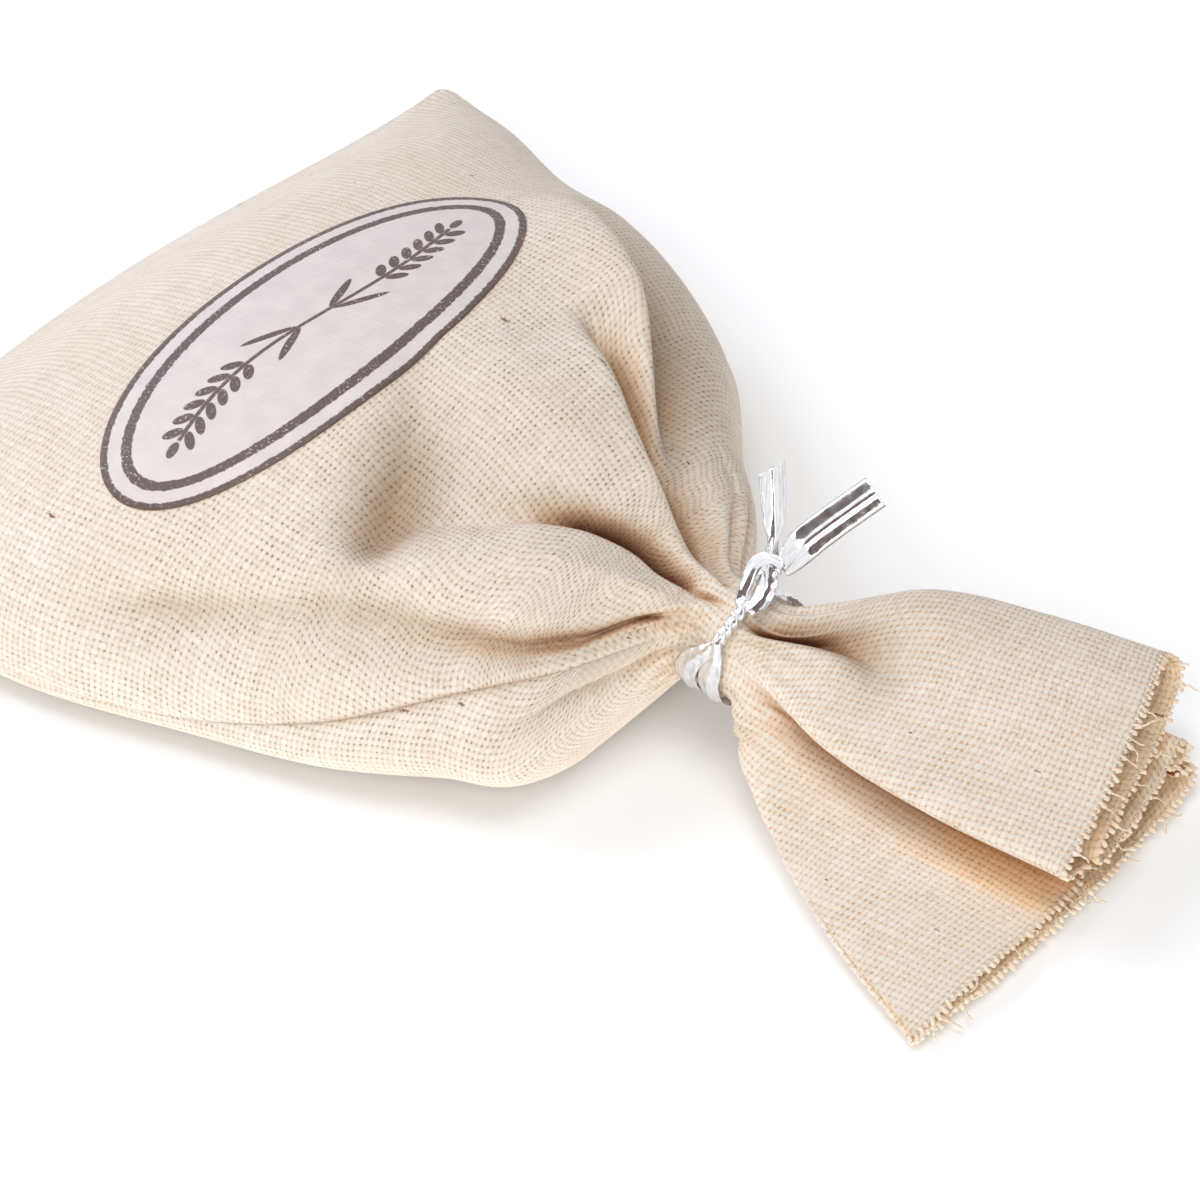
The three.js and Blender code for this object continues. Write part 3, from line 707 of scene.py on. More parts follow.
def cotton_paint(name, open_glow, warm, deep, broad):
    paint, make, shader = new_paint(name)
    cloth = make.uv("cloth")
    along = make.split(cloth)[0]
    # painted shade: the share of sky hidden by nearby cloth, and broad shade along chosen valleys
    hidden, broadly = make.split(make.uv("fold"))[:2]
    weave = make.node("Group", {"Cloth": cloth, **PITCHES}, node_tree=WEAVE)
    flecks = make.node("Group", {"Cloth": cloth, **FLECK_SIZES}, node_tree=FLECKS)
    yarn = make.blend(make.spread(weave["Tone"], 0.3, 0.7), DULL_YARN, BRIGHT_YARN)
    patches = make.noise(cloth, 0.06, detail=3.0)
    yarn = make.blend(make.spread(patches, 0.35, 0.7, 0.0, 0.25), yarn, OATMEAL)
    # fine random mottle of painted shadow from loose fibres
    fibre_shadows = make.noise(cloth, 3.2, detail=4.0, roughness=0.7)
    yarn = make.blend(make.spread(fibre_shadows, 0.35, 0.7, 0.0, 0.35), yarn, FIBRE_SHADOW)
    to_ruffle = make.spread(along, -30.0, 6.0)
    # painted shade in the grooves between the yarns, warmer towards the ruffle
    between = make.spread(weave["Height"], 0.3, 0.85, 0.5, 0.0)
    yarn = make.blend(between, yarn, make.blend(to_ruffle, BODY_GROOVE_SHADE, RUFFLE_GROOVE_SHADE))
    # pinholes of the weave coloured with painted shade, fainter towards the bottom seam
    open_share = make.times(weave["Gaps"], make.spread(along, -92.0, -58.0, 0.35, 1.0))
    yarn = make.blend(open_share, yarn, make.blend(to_ruffle, BODY_HOLE_SHADE, RUFFLE_HOLE_SHADE))
    yarn = make.blend(make.times(flecks["Flecks"], 0.85), yarn, HUSK)
    # painted shade: warm where nearby cloth hides the sky, dark brown deep in the creases, broad along the
    # chosen valleys
    for shade, depth, low, high in (
        (warm, hidden, 0.04, 0.42),
        (deep, hidden, 0.28, 0.72),
        (broad, broadly, 0.0, 1.0),
    ):
        yarn = make.tinted(make.spread(depth, low, high, soft=False), yarn, shade)
    # painted warm bounce light near the mouth: on outer cloth that nearby cloth hides, and on the whole
    # inside
    glow = make.times(make.spread(hidden, 0.02, 0.06, open_glow, 1.0), make.spread(along, 28.0, 40.0))
    fuzz = make.noise(cloth, 5.0, detail=3.0)
    make.fill(shader, {
        "Base Color": make.tinted(glow, yarn, MOUTH_BOUNCE_LIGHT),
        "Roughness": 0.92,
        "Specular IOR Level": 0.15,
        "Sheen Weight": 0.12,
        "Sheen Roughness": 0.6,
        "Normal": make.bump(make.multiply_add(fuzz, 0.25, weave["Height"]), 0.00011),
    })
    return paint


# Printed film of the label: a double line round a pale oval, worn through on the high threads
LABEL_RINGS = ((-1.0, 0.85), (2.5, 3.85))
RING_EDGE = 0.08
# Leaves of the sprig: degrees from its stem, half length and half breadth
BUD = (38.0, 1.35, 0.62)
TIP_BUD = (0.0, 1.2, 0.6)
BLADE = (24.0, 3.2, 0.5)
BUD_STEP = 2.3
HEAD_STARTS = 10.0
INK = linear(98, 83, 80)
SCORCHED = linear(128, 92, 62)
DULL_FILM, PALE_FILM = linear(220, 209, 205), linear(228, 217, 212)
FILM_GAP_SHADE = linear(190, 170, 160)


def label_paint():
    paint, make, shader = new_paint("label_film")
    cloth = make.uv("cloth")
    across, along = make.split(make.uv("print"))[:2]
    rim = make.split(make.uv("rim"))[0]
    ragged = make.less(make.noise(cloth, 1.6, detail=3.0), 0.5)
    depth = make.multiply_add(ragged, 0.5, rim)

    def within(value, low, high):
        return make.spread(value, low, high, 1.0, 0.0)

    def band(low, high):
        outer = make.spread(depth, low - RING_EDGE, low + RING_EDGE)
        return make.times(outer, within(depth, high - RING_EDGE, high + RING_EDGE))

    def leaf(x, y, degrees, length, breadth):
        cosine, sine = math.cos(math.radians(degrees)), math.sin(math.radians(degrees))
        lengthwise = make.plus(make.times(x, cosine), make.times(y, sine))
        sideways = make.less(make.times(y, cosine), make.times(x, sine))
        long_share = make.maths("POWER", make.over(lengthwise, length), 2.0)
        wide_share = make.maths("POWER", make.over(sideways, breadth), 2.0)
        return within(make.plus(long_share, wide_share), 0.8, 1.1)

    # two sprigs laid stem to stem
    reach = make.maths("ABSOLUTE", across)
    side = make.times(along, make.maths("SIGN", across))
    bend = make.times(make.maths("SINE", make.times(reach, 0.13)), 1.3)
    off = make.less(side, bend)
    aside = make.maths("ABSOLUTE", off)
    stem = make.times(within(aside, 0.2, 0.34), within(reach, 23.0, 23.4))
    step = make.over(make.less(reach, HEAD_STARTS), BUD_STEP)
    beside_bud = make.times(make.less(make.maths("FRACT", step), 0.5), BUD_STEP)
    buds = leaf(beside_bud, make.less(aside, 1.15), *BUD)
    head = make.times(make.spread(reach, 9.9, 10.1), within(reach, 23.7, 23.9))
    tip = leaf(make.less(reach, 24.6), off, *TIP_BUD)
    blade = leaf(make.less(reach, 5.2), make.less(aside, 1.5), *BLADE)
    rings = [band(*ring) for ring in LABEL_RINGS]
    ink = make.largest(make.times(buds, head), stem, tip, blade, *rings)
    speckle = make.noise(cloth, 2.6, detail=4.0, roughness=0.7)
    area = make.noise(cloth, 0.11)
    worn = make.times(make.spread(speckle, 0.57, 0.63), make.spread(area, 0.4, 0.58, 0.25, 1.0))
    ink = make.times(ink, make.multiply_add(worn, -0.85, 1.0))
    weave = make.node("Group", {"Cloth": cloth, **PITCHES}, node_tree=WEAVE)
    pale = make.blend(make.spread(make.noise(cloth, 0.3, detail=3.0), 0.3, 0.7), DULL_FILM, PALE_FILM)
    # painted shade in the weave's gaps under the film
    pale = make.blend(make.times(weave["Gaps"], 0.12), pale, FILM_GAP_SHADE)
    scorch = make.times(within(depth, 0.05, 0.3), 0.55)
    make.fill(shader, {
        "Base Color": make.blend(scorch, make.blend(ink, pale, INK), SCORCHED),
        "Roughness": make.spread(ink, 0.0, 1.0, 0.62, 0.5, soft=False),
        "Specular IOR Level": 0.3,
        "Normal": make.bump(make.multiply_add(speckle, 0.2, weave["Height"]), 0.00004),
    })
    return paint


def lavender_paint():
    paint, make, shader = new_paint("dried_lavender")
    cells = make.node("TexVoronoi", {"Vector": make.place(), "Scale": 420.0})
    kind = make.row(make.add("SeparateColor"), cells["Color"])
    colour = make.blend(kind[0], linear(92, 84, 128), linear(128, 120, 150))
    colour = make.blend(make.spread(kind[1], 0.72, 0.8), colour, linear(138, 128, 92))
    # painted shade between the buds
    between = make.spread(cells["Distance"], 0.25, 0.6, 0.0, 0.8)
    make.fill(shader, {
        "Base Color": make.blend(between, colour, linear(58, 50, 66)),
        "Roughness": 0.9,
        "Normal": make.bump(make.less(1.0, cells["Distance"]), 0.0008),
    })
    return paint


def thread_paint(name, light, dark):
    paint, make, shader = new_paint(name)
    place = make.place()
    tone = make.noise(place, 260.0)
    make.fill(shader, {
        "Base Color": make.blend(make.spread(tone, 0.3, 0.7), light, dark),
        "Roughness": 0.93,
        "Specular IOR Level": 0.15,
        "Normal": make.bump(make.noise(place, 1800.0, detail=3.0), 0.0001),
    })
    return paint


# Metallised film: mirror bright, finely crinkled along its length
def film_paint(name, metal):
    paint, make, shader = new_paint(name)
    film = make.uv("film")
    stretched = make.node("Mapping", {"Vector": film, "Scale": (0.5, 2.2, 1.0)})[0]
    streaks = make.noise(stretched, 1.0, detail=3.0)
    crinkle = make.noise(film, 0.9, detail=3.0, roughness=0.6)
    bright = make.spread(streaks, 0.35, 0.65)
    make.fill(shader, {
        "Base Color": make.blend(bright, linear(228, 228, 231), linear(243, 243, 245)),
        "Metallic": metal,
        "Roughness": make.spread(crinkle, 0.3, 0.7, 0.08, 0.2),
        "Normal": make.bump(make.plus(crinkle, make.times(streaks, 0.5)), 0.000025),
    })
    return paint


def steel_paint():
    paint, make, shader = new_paint("annealed_wire")
    drawn = make.noise(make.place(), 1500.0, detail=3.0)
    make.fill(shader, {
        "Base Color": make.blend(drawn, linear(120, 120, 122), linear(172, 172, 172)),
        "Metallic": 1.0,
        "Roughness": make.spread(drawn, 0.3, 0.7, 0.3, 0.5),
    })
    return paint


# the outside takes the painted shade; the inside takes none, and takes the painted bounce light all over
# near the mouth
COTTON = cotton_paint("unbleached_cotton", 0.0, WARM_SHADE, DEEP_SHADE, BROAD_SHADE)
COTTON_INSIDE = cotton_paint("unbleached_cotton_inside", 1.0, NO_SHADE, NO_SHADE, NO_SHADE)
LABEL_FILM = label_paint()
LAVENDER = lavender_paint()
SEAM_THREAD = thread_paint("seam_thread", linear(240, 232, 220), linear(222, 211, 196))
YARN_END = thread_paint("cotton_yarn", linear(249, 234, 213), linear(241, 217, 189))
FILM = film_paint("metallised_film", 1.0)
CREASED_FILM = film_paint("creased_film", 0.8)
STEEL = steel_paint()

# Share of the sky that nearby cloth hides from each place of a panel, painted into the cloth's colour as
# shade
FRONT_SHADE_REACH = 14
BACK_SHADE_REACH = 7
SHADE_RAYS = 40
SHADE_STEP = 2
RAY_START = 0.2
# share of the painted shade that is lifted near the mouth, over the span below
MOUTH_SHADE_LIFT = 0.8
MOUTH_OPENS = (18, 26)
# broad painted shade along chosen valleys, with its share at full depth
BROADLY_SHADED = ((FAR_HOLLOW, 0.75), (LABEL_VALLEY, 0.65), (NEAR_HOLLOW, 0.3), (RUFFLE_POCKET, 0.75))
FULL_DEPTH = 5
END_WITHOUT_SHADE = 5


def cloth_tree(*grids):
    places, quads = [], []
    for grid in grids:
        rows, columns = grid.shape[:2]
        corner = len(places) + np.arange(rows * columns).reshape(rows, columns)
        ring = [corner[:-1, :-1], corner[1:, :-1], corner[1:, 1:], corner[:-1, 1:]]
        quads += np.stack([part.ravel() for part in ring], axis=1).tolist()
        places += grid.reshape(-1, 3).tolist()
    return BVHTree.FromPolygons(places, quads)


def hidden_sky(grid, tree, reach):
    count = np.arange(SHADE_RAYS) + 0.5
    turn = np.pi * (1 + 5**0.5) * count
    flat = np.sqrt(count / SHADE_RAYS)
    up = np.sqrt(1 - flat**2)
    some = (slice(None, None, SHADE_STEP),) * 2
    faces = outward(grid)[some]
    along = unit(np.gradient(grid, axis=0))[some]
    across = np.cross(faces, along)
    starts = grid[some] + RAY_START * faces
    hidden = np.zeros(starts.shape[:2])
    for index in np.ndindex(hidden.shape):
        rays = np.outer(flat * np.cos(turn), along[index]) + np.outer(flat * np.sin(turn), across[index])
        rays += np.outer(up, faces[index])
        start = Vector(starts[index])
        for ray in rays:
            distance = tree.ray_cast(start, Vector(ray), reach)[3]
            if distance is not None:
                hidden[index] += (1 - distance / reach) / SHADE_RAYS
    rows, columns = grid.shape[:2]
    by_row = np.arange(0, rows, SHADE_STEP)
    by_column = np.arange(0, columns, SHADE_STEP)
    wide = np.array([np.interp(np.arange(columns), by_column, row) for row in hidden])
    return np.array([np.interp(np.arange(rows), by_row, column) for column in wide.T]).T


# The two panels of the bag
front_loft = lofted(np.linspace(0, 0.5, COLUMNS + 1))
back_loft = lofted(np.linspace(0.5, 1, COLUMNS + 1))
near_dip = seam_dip(outward(front_loft)[:, 0], outward(back_loft)[:, -1])
far_dip = seam_dip(outward(front_loft)[:, -1], outward(back_loft)[:, 0])
front_grid = folded(front_loft, FOLDS, FRONT_MIDDLE, near_dip, far_dip)
back_grid = folded(back_loft, BACK_FOLDS, BACK_MIDDLE, far_dip, near_dip)
unfolded = cloth_measure(front_loft, FRONT_MIDDLE)
front_measure = cloth_measure(front_grid, FRONT_MIDDLE)
back_measure = cloth_measure(back_grid, BACK_MIDDLE)
both_panels = cloth_tree(front_grid, back_grid)
front_shade = hidden_sky(front_grid, both_panels, FRONT_SHADE_REACH)
# less painted shade near the mouth of the ruffle
front_shade *= 1 - MOUTH_SHADE_LIFT * smoothstep(*MOUTH_OPENS, front_measure[0])
back_shade = hidden_sky(back_grid, both_panels, BACK_SHADE_REACH)
for shade, (u, v) in ((front_shade, front_measure), (back_shade, back_measure)):
    shade *= smoothstep(0, END_WITHOUT_SHADE, u - u[:1])
# broad painted shade along the chosen valleys
front_broad = sum(
    share * np.clip(fold_depth(*unfolded, path) / FULL_DEPTH, 0, 1) for path, share in BROADLY_SHADED
)
# the fold map carries the painted shade into the cloth's colour
front_maps = {"cloth": front_measure, "fold": (front_shade, front_broad)}
back_maps = {"cloth": back_measure, "fold": (back_shade, 0 * back_shade)}
front = sheet_piece("front_cloth", front_grid, front_maps, CLOTH, COTTON, COTTON_INSIDE)
back = sheet_piece("back_cloth", back_grid, back_maps, CLOTH, COTTON, COTTON_INSIDE)
carried(front, "sachet", "cotton_cloth", "front_panel")
carried(back, "sachet", "cotton_cloth", "back_panel")


def at_column(row, column):
    left = min(int(column), len(row) - 2)
    mix = column - left
    return (1 - mix) * row[left] + mix * row[left + 1]


# Places and outward directions on a panel, by its own measure
def on_cloth(grid, measure, at_u, at_v):
    u, v = measure
    faces = outward(grid)
    row = np.interp(at_u, u[:, 0], np.arange(len(u)))
    low = np.clip(np.floor(row).astype(int), 0, len(u) - 2)
    share = row - low
    places = np.zeros(at_u.shape + (3,))
    normals = np.zeros(at_u.shape + (3,))
    for index in np.ndindex(at_u.shape):
        for part, weight in ((low[index], 1 - share[index]), (low[index] + 1, share[index])):
            column = np.interp(at_v[index], v[part], np.arange(v.shape[1]))
            places[index] += weight * at_column(grid[part], column)
            normals[index] += weight * at_column(faces[part], column)
    return places, unit(normals)


# Oval label on the front panel
LABEL_MIDDLE = (-62.8, -4.1)
LABEL_HALF_BREADTH = 14.1
LABEL_HALF_LENGTH = 32.9
LABEL_FILM_THICKNESS = 0.12
LABEL_PROUD = 0.15
LABEL_ROWS, LABEL_COLUMNS = 57, 137


def make_label():
    steps = np.linspace(-1, 1, LABEL_ROWS), np.linspace(-1, 1, LABEL_COLUMNS)
    breadth, length = np.meshgrid(*steps, indexing="ij")
    along = LABEL_HALF_BREADTH * breadth * np.sqrt(1 - length**2 / 2)
    across = LABEL_HALF_LENGTH * length * np.sqrt(1 - breadth**2 / 2)
    radius = np.hypot(along / LABEL_HALF_BREADTH, across / LABEL_HALF_LENGTH)
    slope = np.hypot(along / LABEL_HALF_BREADTH**2, across / LABEL_HALF_LENGTH**2)
    to_rim = (1 - radius) * radius / np.maximum(slope, 1e-6)
    u, v = along + LABEL_MIDDLE[0], across + LABEL_MIDDLE[1]
    places, normals = on_cloth(front_grid, unfolded, u, v)
    grid = places + normals * LABEL_PROUD
    maps = {"cloth": (u, v), "print": (across, along), "rim": (to_rim, to_rim)}
    label = sheet_piece("label_film", grid, maps, LABEL_FILM_THICKNESS, LABEL_FILM)
    carried(label, "sachet", "label_print", "label_print")
    return label


label = make_label()

# Raw cut mouth: the ends of the lengthwise yarns stand out past the last cross yarn
FRINGE_LENGTH = 0.55
FRINGE_SPREAD = (0.3, 1.5)
YARN_SIDES = 6
YARN_RADIUS = 0.36
YARN_TAPER = 0.75
YARN_ROOT = 0.4
YARN_SCATTER = 0.2
STRAGGLERS = 0.14
STRAGGLE_STEPS = 3
STRAGGLE_STEP = 0.6
STRAGGLE_RADIUS = 0.13
STRAGGLE_SCATTER = 0.5
STRAGGLE_SAG = Vector((0, 0, -0.1))


def add_yarn(bm, root, heading, length, radius):
    made = bmesh.ops.create_cone(
        bm,
        cap_ends=True,
        segments=YARN_SIDES,
        radius1=radius * MM,
        radius2=YARN_TAPER * radius * MM,
        depth=length * MM,
    )
    middle = (root + heading * (length / 2) + Vector(NECK_AT)) * MM
    set_down(bm, made["verts"], heading, middle)
    return root + heading * length


def make_fringe(name, grid, measure, seed):
    chance = np.random.default_rng(seed)
    v = measure[1][-1]
    count = int((v[-1] - v[0]) / END_PITCH)
    bm = bmesh.new()
    for number in range(count):
        column = np.interp(v[0] + (number + 0.5) * END_PITCH, v, np.arange(len(v)))
        left = min(int(column), len(v) - 2)
        edge = at_column(grid[-1], column)
        straight = Vector(edge - at_column(grid[-3], column)).normalized()
        heading = (straight + Vector(chance.normal(0, YARN_SCATTER, 3))).normalized()
        length = FRINGE_LENGTH * chance.uniform(*FRINGE_SPREAD)
        inside = Vector(outward(grid[-3:, left : left + 2])[-1, 0]) * (CLOTH / 2)
        root = Vector(edge) - inside - heading * YARN_ROOT
        end = add_yarn(bm, root, heading, length + YARN_ROOT, YARN_RADIUS)
        if chance.random() < STRAGGLERS:
            for step in range(STRAGGLE_STEPS):
                wander = Vector(chance.normal(0, STRAGGLE_SCATTER, 3))
                heading = (heading + wander + STRAGGLE_SAG).normalized()
                end = add_yarn(bm, end, heading, STRAGGLE_STEP, STRAGGLE_RADIUS)
                end.z = max(end.z, STRAGGLE_RADIUS)
    for face in bm.faces:
        face.smooth = True
    fringe = finished_piece(name, bm, YARN_END)
    carried(fringe, "sachet", "cotton_cloth")
    return fringe


front_fringe = make_fringe("front_raw_edge", front_grid, front_measure, 3)
back_fringe = make_fringe("back_raw_edge", back_grid, back_measure, 4)

# Overlocked seam allowances, turned to the inside of the bag
SEAM_DEPTH = 2.8
SEAM_THICKNESS = 1.2
SEAM_INSET = 0.9
SEAM_LOOP = 3.2
SEAM_WAVE = 0.16
SEAM_SIDES = 10
SEWN_FROM, SEWN_TO = 0.2, 6
END_MARGIN = 8


def oval_ring(count):
    turn = np.linspace(0, 2 * np.pi, count + 1)
    return np.cos(turn), np.sin(turn)


def make_seam(name, places, inwards, node):
    length = run_along(places)
    across = np.cross(unit(np.gradient(places, axis=0)), inwards)
    wide, high = oval_ring(SEAM_SIDES)
    loops = 1 + SEAM_WAVE * np.cos(2 * np.pi * length / SEAM_LOOP)[:, None]
    deep = SEAM_INSET + SEAM_DEPTH / 2 * (1 + wide[None, :])
    thick = SEAM_THICKNESS / 2 * high[None, :] * loops
    rings = places[:, None] + inwards[:, None] * deep[..., None] + across[:, None] * thick[..., None]
    run = np.repeat(length[:, None], rings.shape[1], axis=1)
    seam = swept_piece(name, rings, {"run": (run, deep + 0 * run)}, SEAM_THREAD)
    carried(seam, "sachet", "seam_thread", node)
    return seam


def make_side_seam(name, column, node):
    sewn = (stations() >= SEWN_FROM) & (stations() <= SEWN_TO)
    places = front_grid[:, column]
    inwards = (front_grid.mean(axis=1) + back_grid.mean(axis=1)) / 2 - places
    inwards = square_to(unit(np.gradient(places, axis=0)), inwards)
    return make_seam(name, places[sewn], inwards[sewn], node)


seams = [
    make_side_seam("near_side_overlock", 0, "near_side_seam"),
    make_side_seam("far_side_overlock", -1, "far_side_seam"),
]
end_line = front_grid[0, END_MARGIN:-END_MARGIN] - np.array([0, 0, END_PINCH])
end_inwards = np.repeat(np.array([[1.0, 0.0, 0.0]]), len(end_line), axis=0)
seams.append(make_seam("bottom_overlock", end_line, end_inwards, "bottom_seam"))

# Loose dried buds that fill the bag up to the tie, clear of every fold
FILL_GAP = 0.9
FILL_LEAST = 0.3
FILL_ROWS = slice(6, 97)
FILL_TAPER = 9
FOLD_ROWS = 3
FOLD_COLUMNS = 4


def make_filling():
    shell = np.concatenate([front_grid[FILL_ROWS, :-1:2], back_grid[FILL_ROWS, :-1:2]], axis=1)
    centre = shell.mean(axis=1, keepdims=True)
    share = np.linspace(-1, 1, len(shell))
    taper = np.clip(1 - abs(share) ** FILL_TAPER, 0.02, 1) ** 0.5
    away = shell - centre
    far = np.linalg.norm(away, axis=-1)
    least = far.copy()
    for down in range(-FOLD_ROWS, FOLD_ROWS + 1):
        moved = far[np.clip(np.arange(len(far)) + down, 0, len(far) - 1)]
        for aside in range(-FOLD_COLUMNS, FOLD_COLUMNS + 1):
            least = np.minimum(least, np.roll(moved, aside, axis=1))
    inside = np.maximum(least - FILL_GAP, FILL_LEAST) / far * taper[:, None]
    rings = centre + away * inside[..., None]
    rings = np.concatenate([rings, rings[:, :1]], axis=1)
    around = np.linspace(0, 1, rings.shape[1])
    run = np.meshgrid(share, around, indexing="ij")
    filling = swept_piece("lavender_buds", rings, {"run": run}, LAVENDER)
    carried(filling, "sachet", "lavender", "lavender_fill")


make_filling()

# Twist tie
FILM_HALF_THICKNESS = 0.08
RIDGE_HEIGHT = 0.3
RIDGE_BREADTH = 0.34
WIRE_RADIUS = 0.22
WIRE_SIDES = 8
RIBBON_STEP = 0.25
RIBBON_COLUMNS = 15
TIP_LENGTH = 3
TIE_RADIUS = NECK_RADIUS + 0.75
# Two crossing ripples: how fast across the film and along it, and where they start
CRUMPLE = ((5.1, 3.3, 0), (2.3, -4.7, 1.3))


def evenly(points, spacing):
    fine = smooth_curve(points, np.linspace(0, len(points) - 1, 40 * len(points)))
    run = run_along(fine[:, :3])
    wanted = np.linspace(0, run[-1], int(run[-1] / spacing) + 1)
    return np.stack([np.interp(wanted, run, fine[:, k]) for k in range(fine.shape[1])], axis=1), wanted


# Film and wire along knots of place, across direction, width, arch and crumple
def make_ribbon(name, knots, body, film_nodes, wire_nodes, skew=0, paint=FILM):
    line, run = evenly(np.array(knots, dtype=float), RIBBON_STEP)
    run = run[:, None]
    places, sides = line[:, :3], line[:, 3:6]
    width, arch, crumple = line[:, 6:7], line[:, 7:8], line[:, 8:9]
    ahead = unit(np.gradient(places, axis=0))
    sides = square_to(ahead, sides)
    faces = np.cross(ahead, sides)
    there = np.linspace(-1, 1, RIBBON_COLUMNS)
    share = np.concatenate([there, np.linspace(1, -1, RIBBON_COLUMNS)[1:-1], [-1]])[None, :]
    upper = np.concatenate([np.ones(RIBBON_COLUMNS), -np.ones(RIBBON_COLUMNS - 1)])[None, :]
    upper[0, [0, RIBBON_COLUMNS - 1, -1]] = 0
    reach = share * width / 2
    ridge = RIDGE_HEIGHT * np.exp(-((reach / RIDGE_BREADTH) ** 2))
    creased = sum(np.sin(fast * reach + slow * run + start) for fast, slow, start in CRUMPLE)
    height = upper * (FILM_HALF_THICKNESS + ridge) + arch * (1 - share**2) + crumple * creased
    skin = places[:, None] + sides[:, None] * reach[..., None] + faces[:, None] * height[..., None]
    tip = np.clip((run - run[-1] + TIP_LENGTH) / TIP_LENGTH, 0, 1)
    skin += ahead[:, None] * (skew * tip * reach)[..., None]
    film = swept_piece(f"{name}_film_ribbon", skin, {"film": (run + 0 * reach, reach)}, paint)
    carried(film, body, "tie_film", *film_nodes)
    cosine, sine = (part[None, :, None] for part in oval_ring(WIRE_SIDES))
    middle = (places + faces * arch)[:, None]
    rings = middle + WIRE_RADIUS * (sides[:, None] * cosine + faces[:, None] * sine)
    round_wire = cosine[..., 0] + 0 * run
    wire = swept_piece(f"{name}_core_wire", rings, {"film": (run + 0 * round_wire, round_wire)}, STEEL)
    carried(wire, body, "tie_wire", *wire_nodes)


# A knot of the wound ribbon: degrees round the neck from its top over the near side, place along
# the bag, lift off the neck, width, crumple and twist
def wound(degrees, x, lift, width, crumple, twist=0):
    angle = math.radians(degrees)
    out = np.array([0, -math.sin(angle), math.cos(angle)])
    ahead = np.array([0, -math.cos(angle), -math.sin(angle)])
    turn = math.radians(twist)
    across = np.cross(ahead, out) * math.cos(turn) + out * math.sin(turn)
    place = np.array([x, 0, NECK_HEIGHT]) + out * (TIE_RADIUS + lift)
    return [*place, *across, width, 0, crumple]


# The length over the top of the neck where both turns are twisted together
ROPE_STEPS = 13
ROPE_STEP_DEGREES = 3.4
ROPE_TWIST_DEGREES = 75
ROPE_AT = 1.9
ROPE_DRIFT = 0.03
ROPE_LIFT = 0.75
ROPE_HALF_BREADTH = 0.5
ROPE_HALF_HEIGHT = 0.42


def rope(start, phase):
    knots = []
    for step in range(ROPE_STEPS):
        swing = phase + ROPE_TWIST_DEGREES * step
        x = ROPE_AT - ROPE_DRIFT * step + ROPE_HALF_BREADTH * math.sin(math.radians(swing))
        lift = ROPE_LIFT + ROPE_HALF_HEIGHT * math.cos(math.radians(swing))
        knots.append(wound(start + ROPE_STEP_DEGREES * step, x, lift, 1.15, 0.05, swing))
    return knots


FIRST_TURN = [
    (62, 0.4, 0.4, 1.9, 0.05), (76, -1.2, 0, 2.8, 0.03), (95, -2.2, 0, 3.1, 0.02),
    (130, -2.4, 0, 3.1, 0.02), (180, -2.0, 0, 3, 0.02), (230, -1.6, 0, 3, 0.02),
    (280, -1.1, 0, 2.8, 0.02), (325, -0.4, 0, 2.4, 0.03), (352, 0.9, 0.3, 1.5, 0.05),
]
SECOND_TURN = [
    (423, 1.8, 0.4, 1.9, 0.05), (438, 1.5, 0, 2.8, 0.03), (456, 1.15, 0, 3.1, 0.02),
    (490, 1.2, 0, 3.1, 0.02), (540, 1.6, 0, 3, 0.02), (590, 2.0, 0, 3, 0.02),
    (640, 2.5, 0, 2.8, 0.02), (680, 3.0, 0.2, 2.4, 0.04), (703, 2.9, 0.9, 1.6, 0.06),
    (714, 2.5, 1.4, 1.3, 0.06),
]
BAND = rope(8, 0) + [wound(*row) for row in FIRST_TURN]
BAND += rope(368, 180) + [wound(*row) for row in SECOND_TURN]
NARROW_STRAND = [
    (2.6, -2.0, 20.9, 0.8, 0.2, 0.1, 1.4, 0, 0.05),
    (3.2, -0.7, 21.7, 0.87, 0.42, 0.24, 2.2, 0, 0.02),
    (3.0, 0.9, 22.6, 0.87, 0.42, 0.24, 2.4, 0, 0.01),
    (2.2, 2.3, 23.6, 0.87, 0.42, 0.24, 2.2, 0, 0.01),
    (1.59, 3.35, 24.45, 0.8, 0.5, 0.1, 2.0, 0, 0.01),
]
BROAD_STRAND = [
    (1.5, -1.9, 21.0, -0.7, -0.6, 0.1, 1.4, 0, 0.05),
    (1.1, -0.6, 21.7, -0.57, -0.79, 0.24, 2.2, 0, 0.02),
    (0.9, 0.7, 22.9, -0.57, -0.79, 0.24, 2.6, 0, 0.01),
    (0.9, 1.8, 24.3, -0.6, -0.6, 0.4, 2.6, 0.1, 0.01),
    (2.0, 2.6, 25.2, -0.55, -0.2, 0.8, 2.5, 0.1, 0.01),
    (3.79, 2.70, 25.03, -0.55, 0.1, 0.83, 2.5, 0, 0.01),
]
NARROW_TAIL = [
    (1.59, 3.35, 24.45, -0.8, -0.5, -0.1, 2.0, 0, 0.01),
    (0.95, 4.5, 26.2, -0.6, -0.6, 0.3, 1.4, 0.02, 0.01),
    (0.1, 5.6, 28, -0.42, -0.74, 0.5, 3.2, 0.08, 0),
    (-1.3, 7.1, 30.3, -0.39, -0.76, 0.51, 3.8, 0.15, 0),
    (-2.75, 8.6, 32.5, -0.39, -0.76, 0.51, 3.9, 0.2, 0),
]
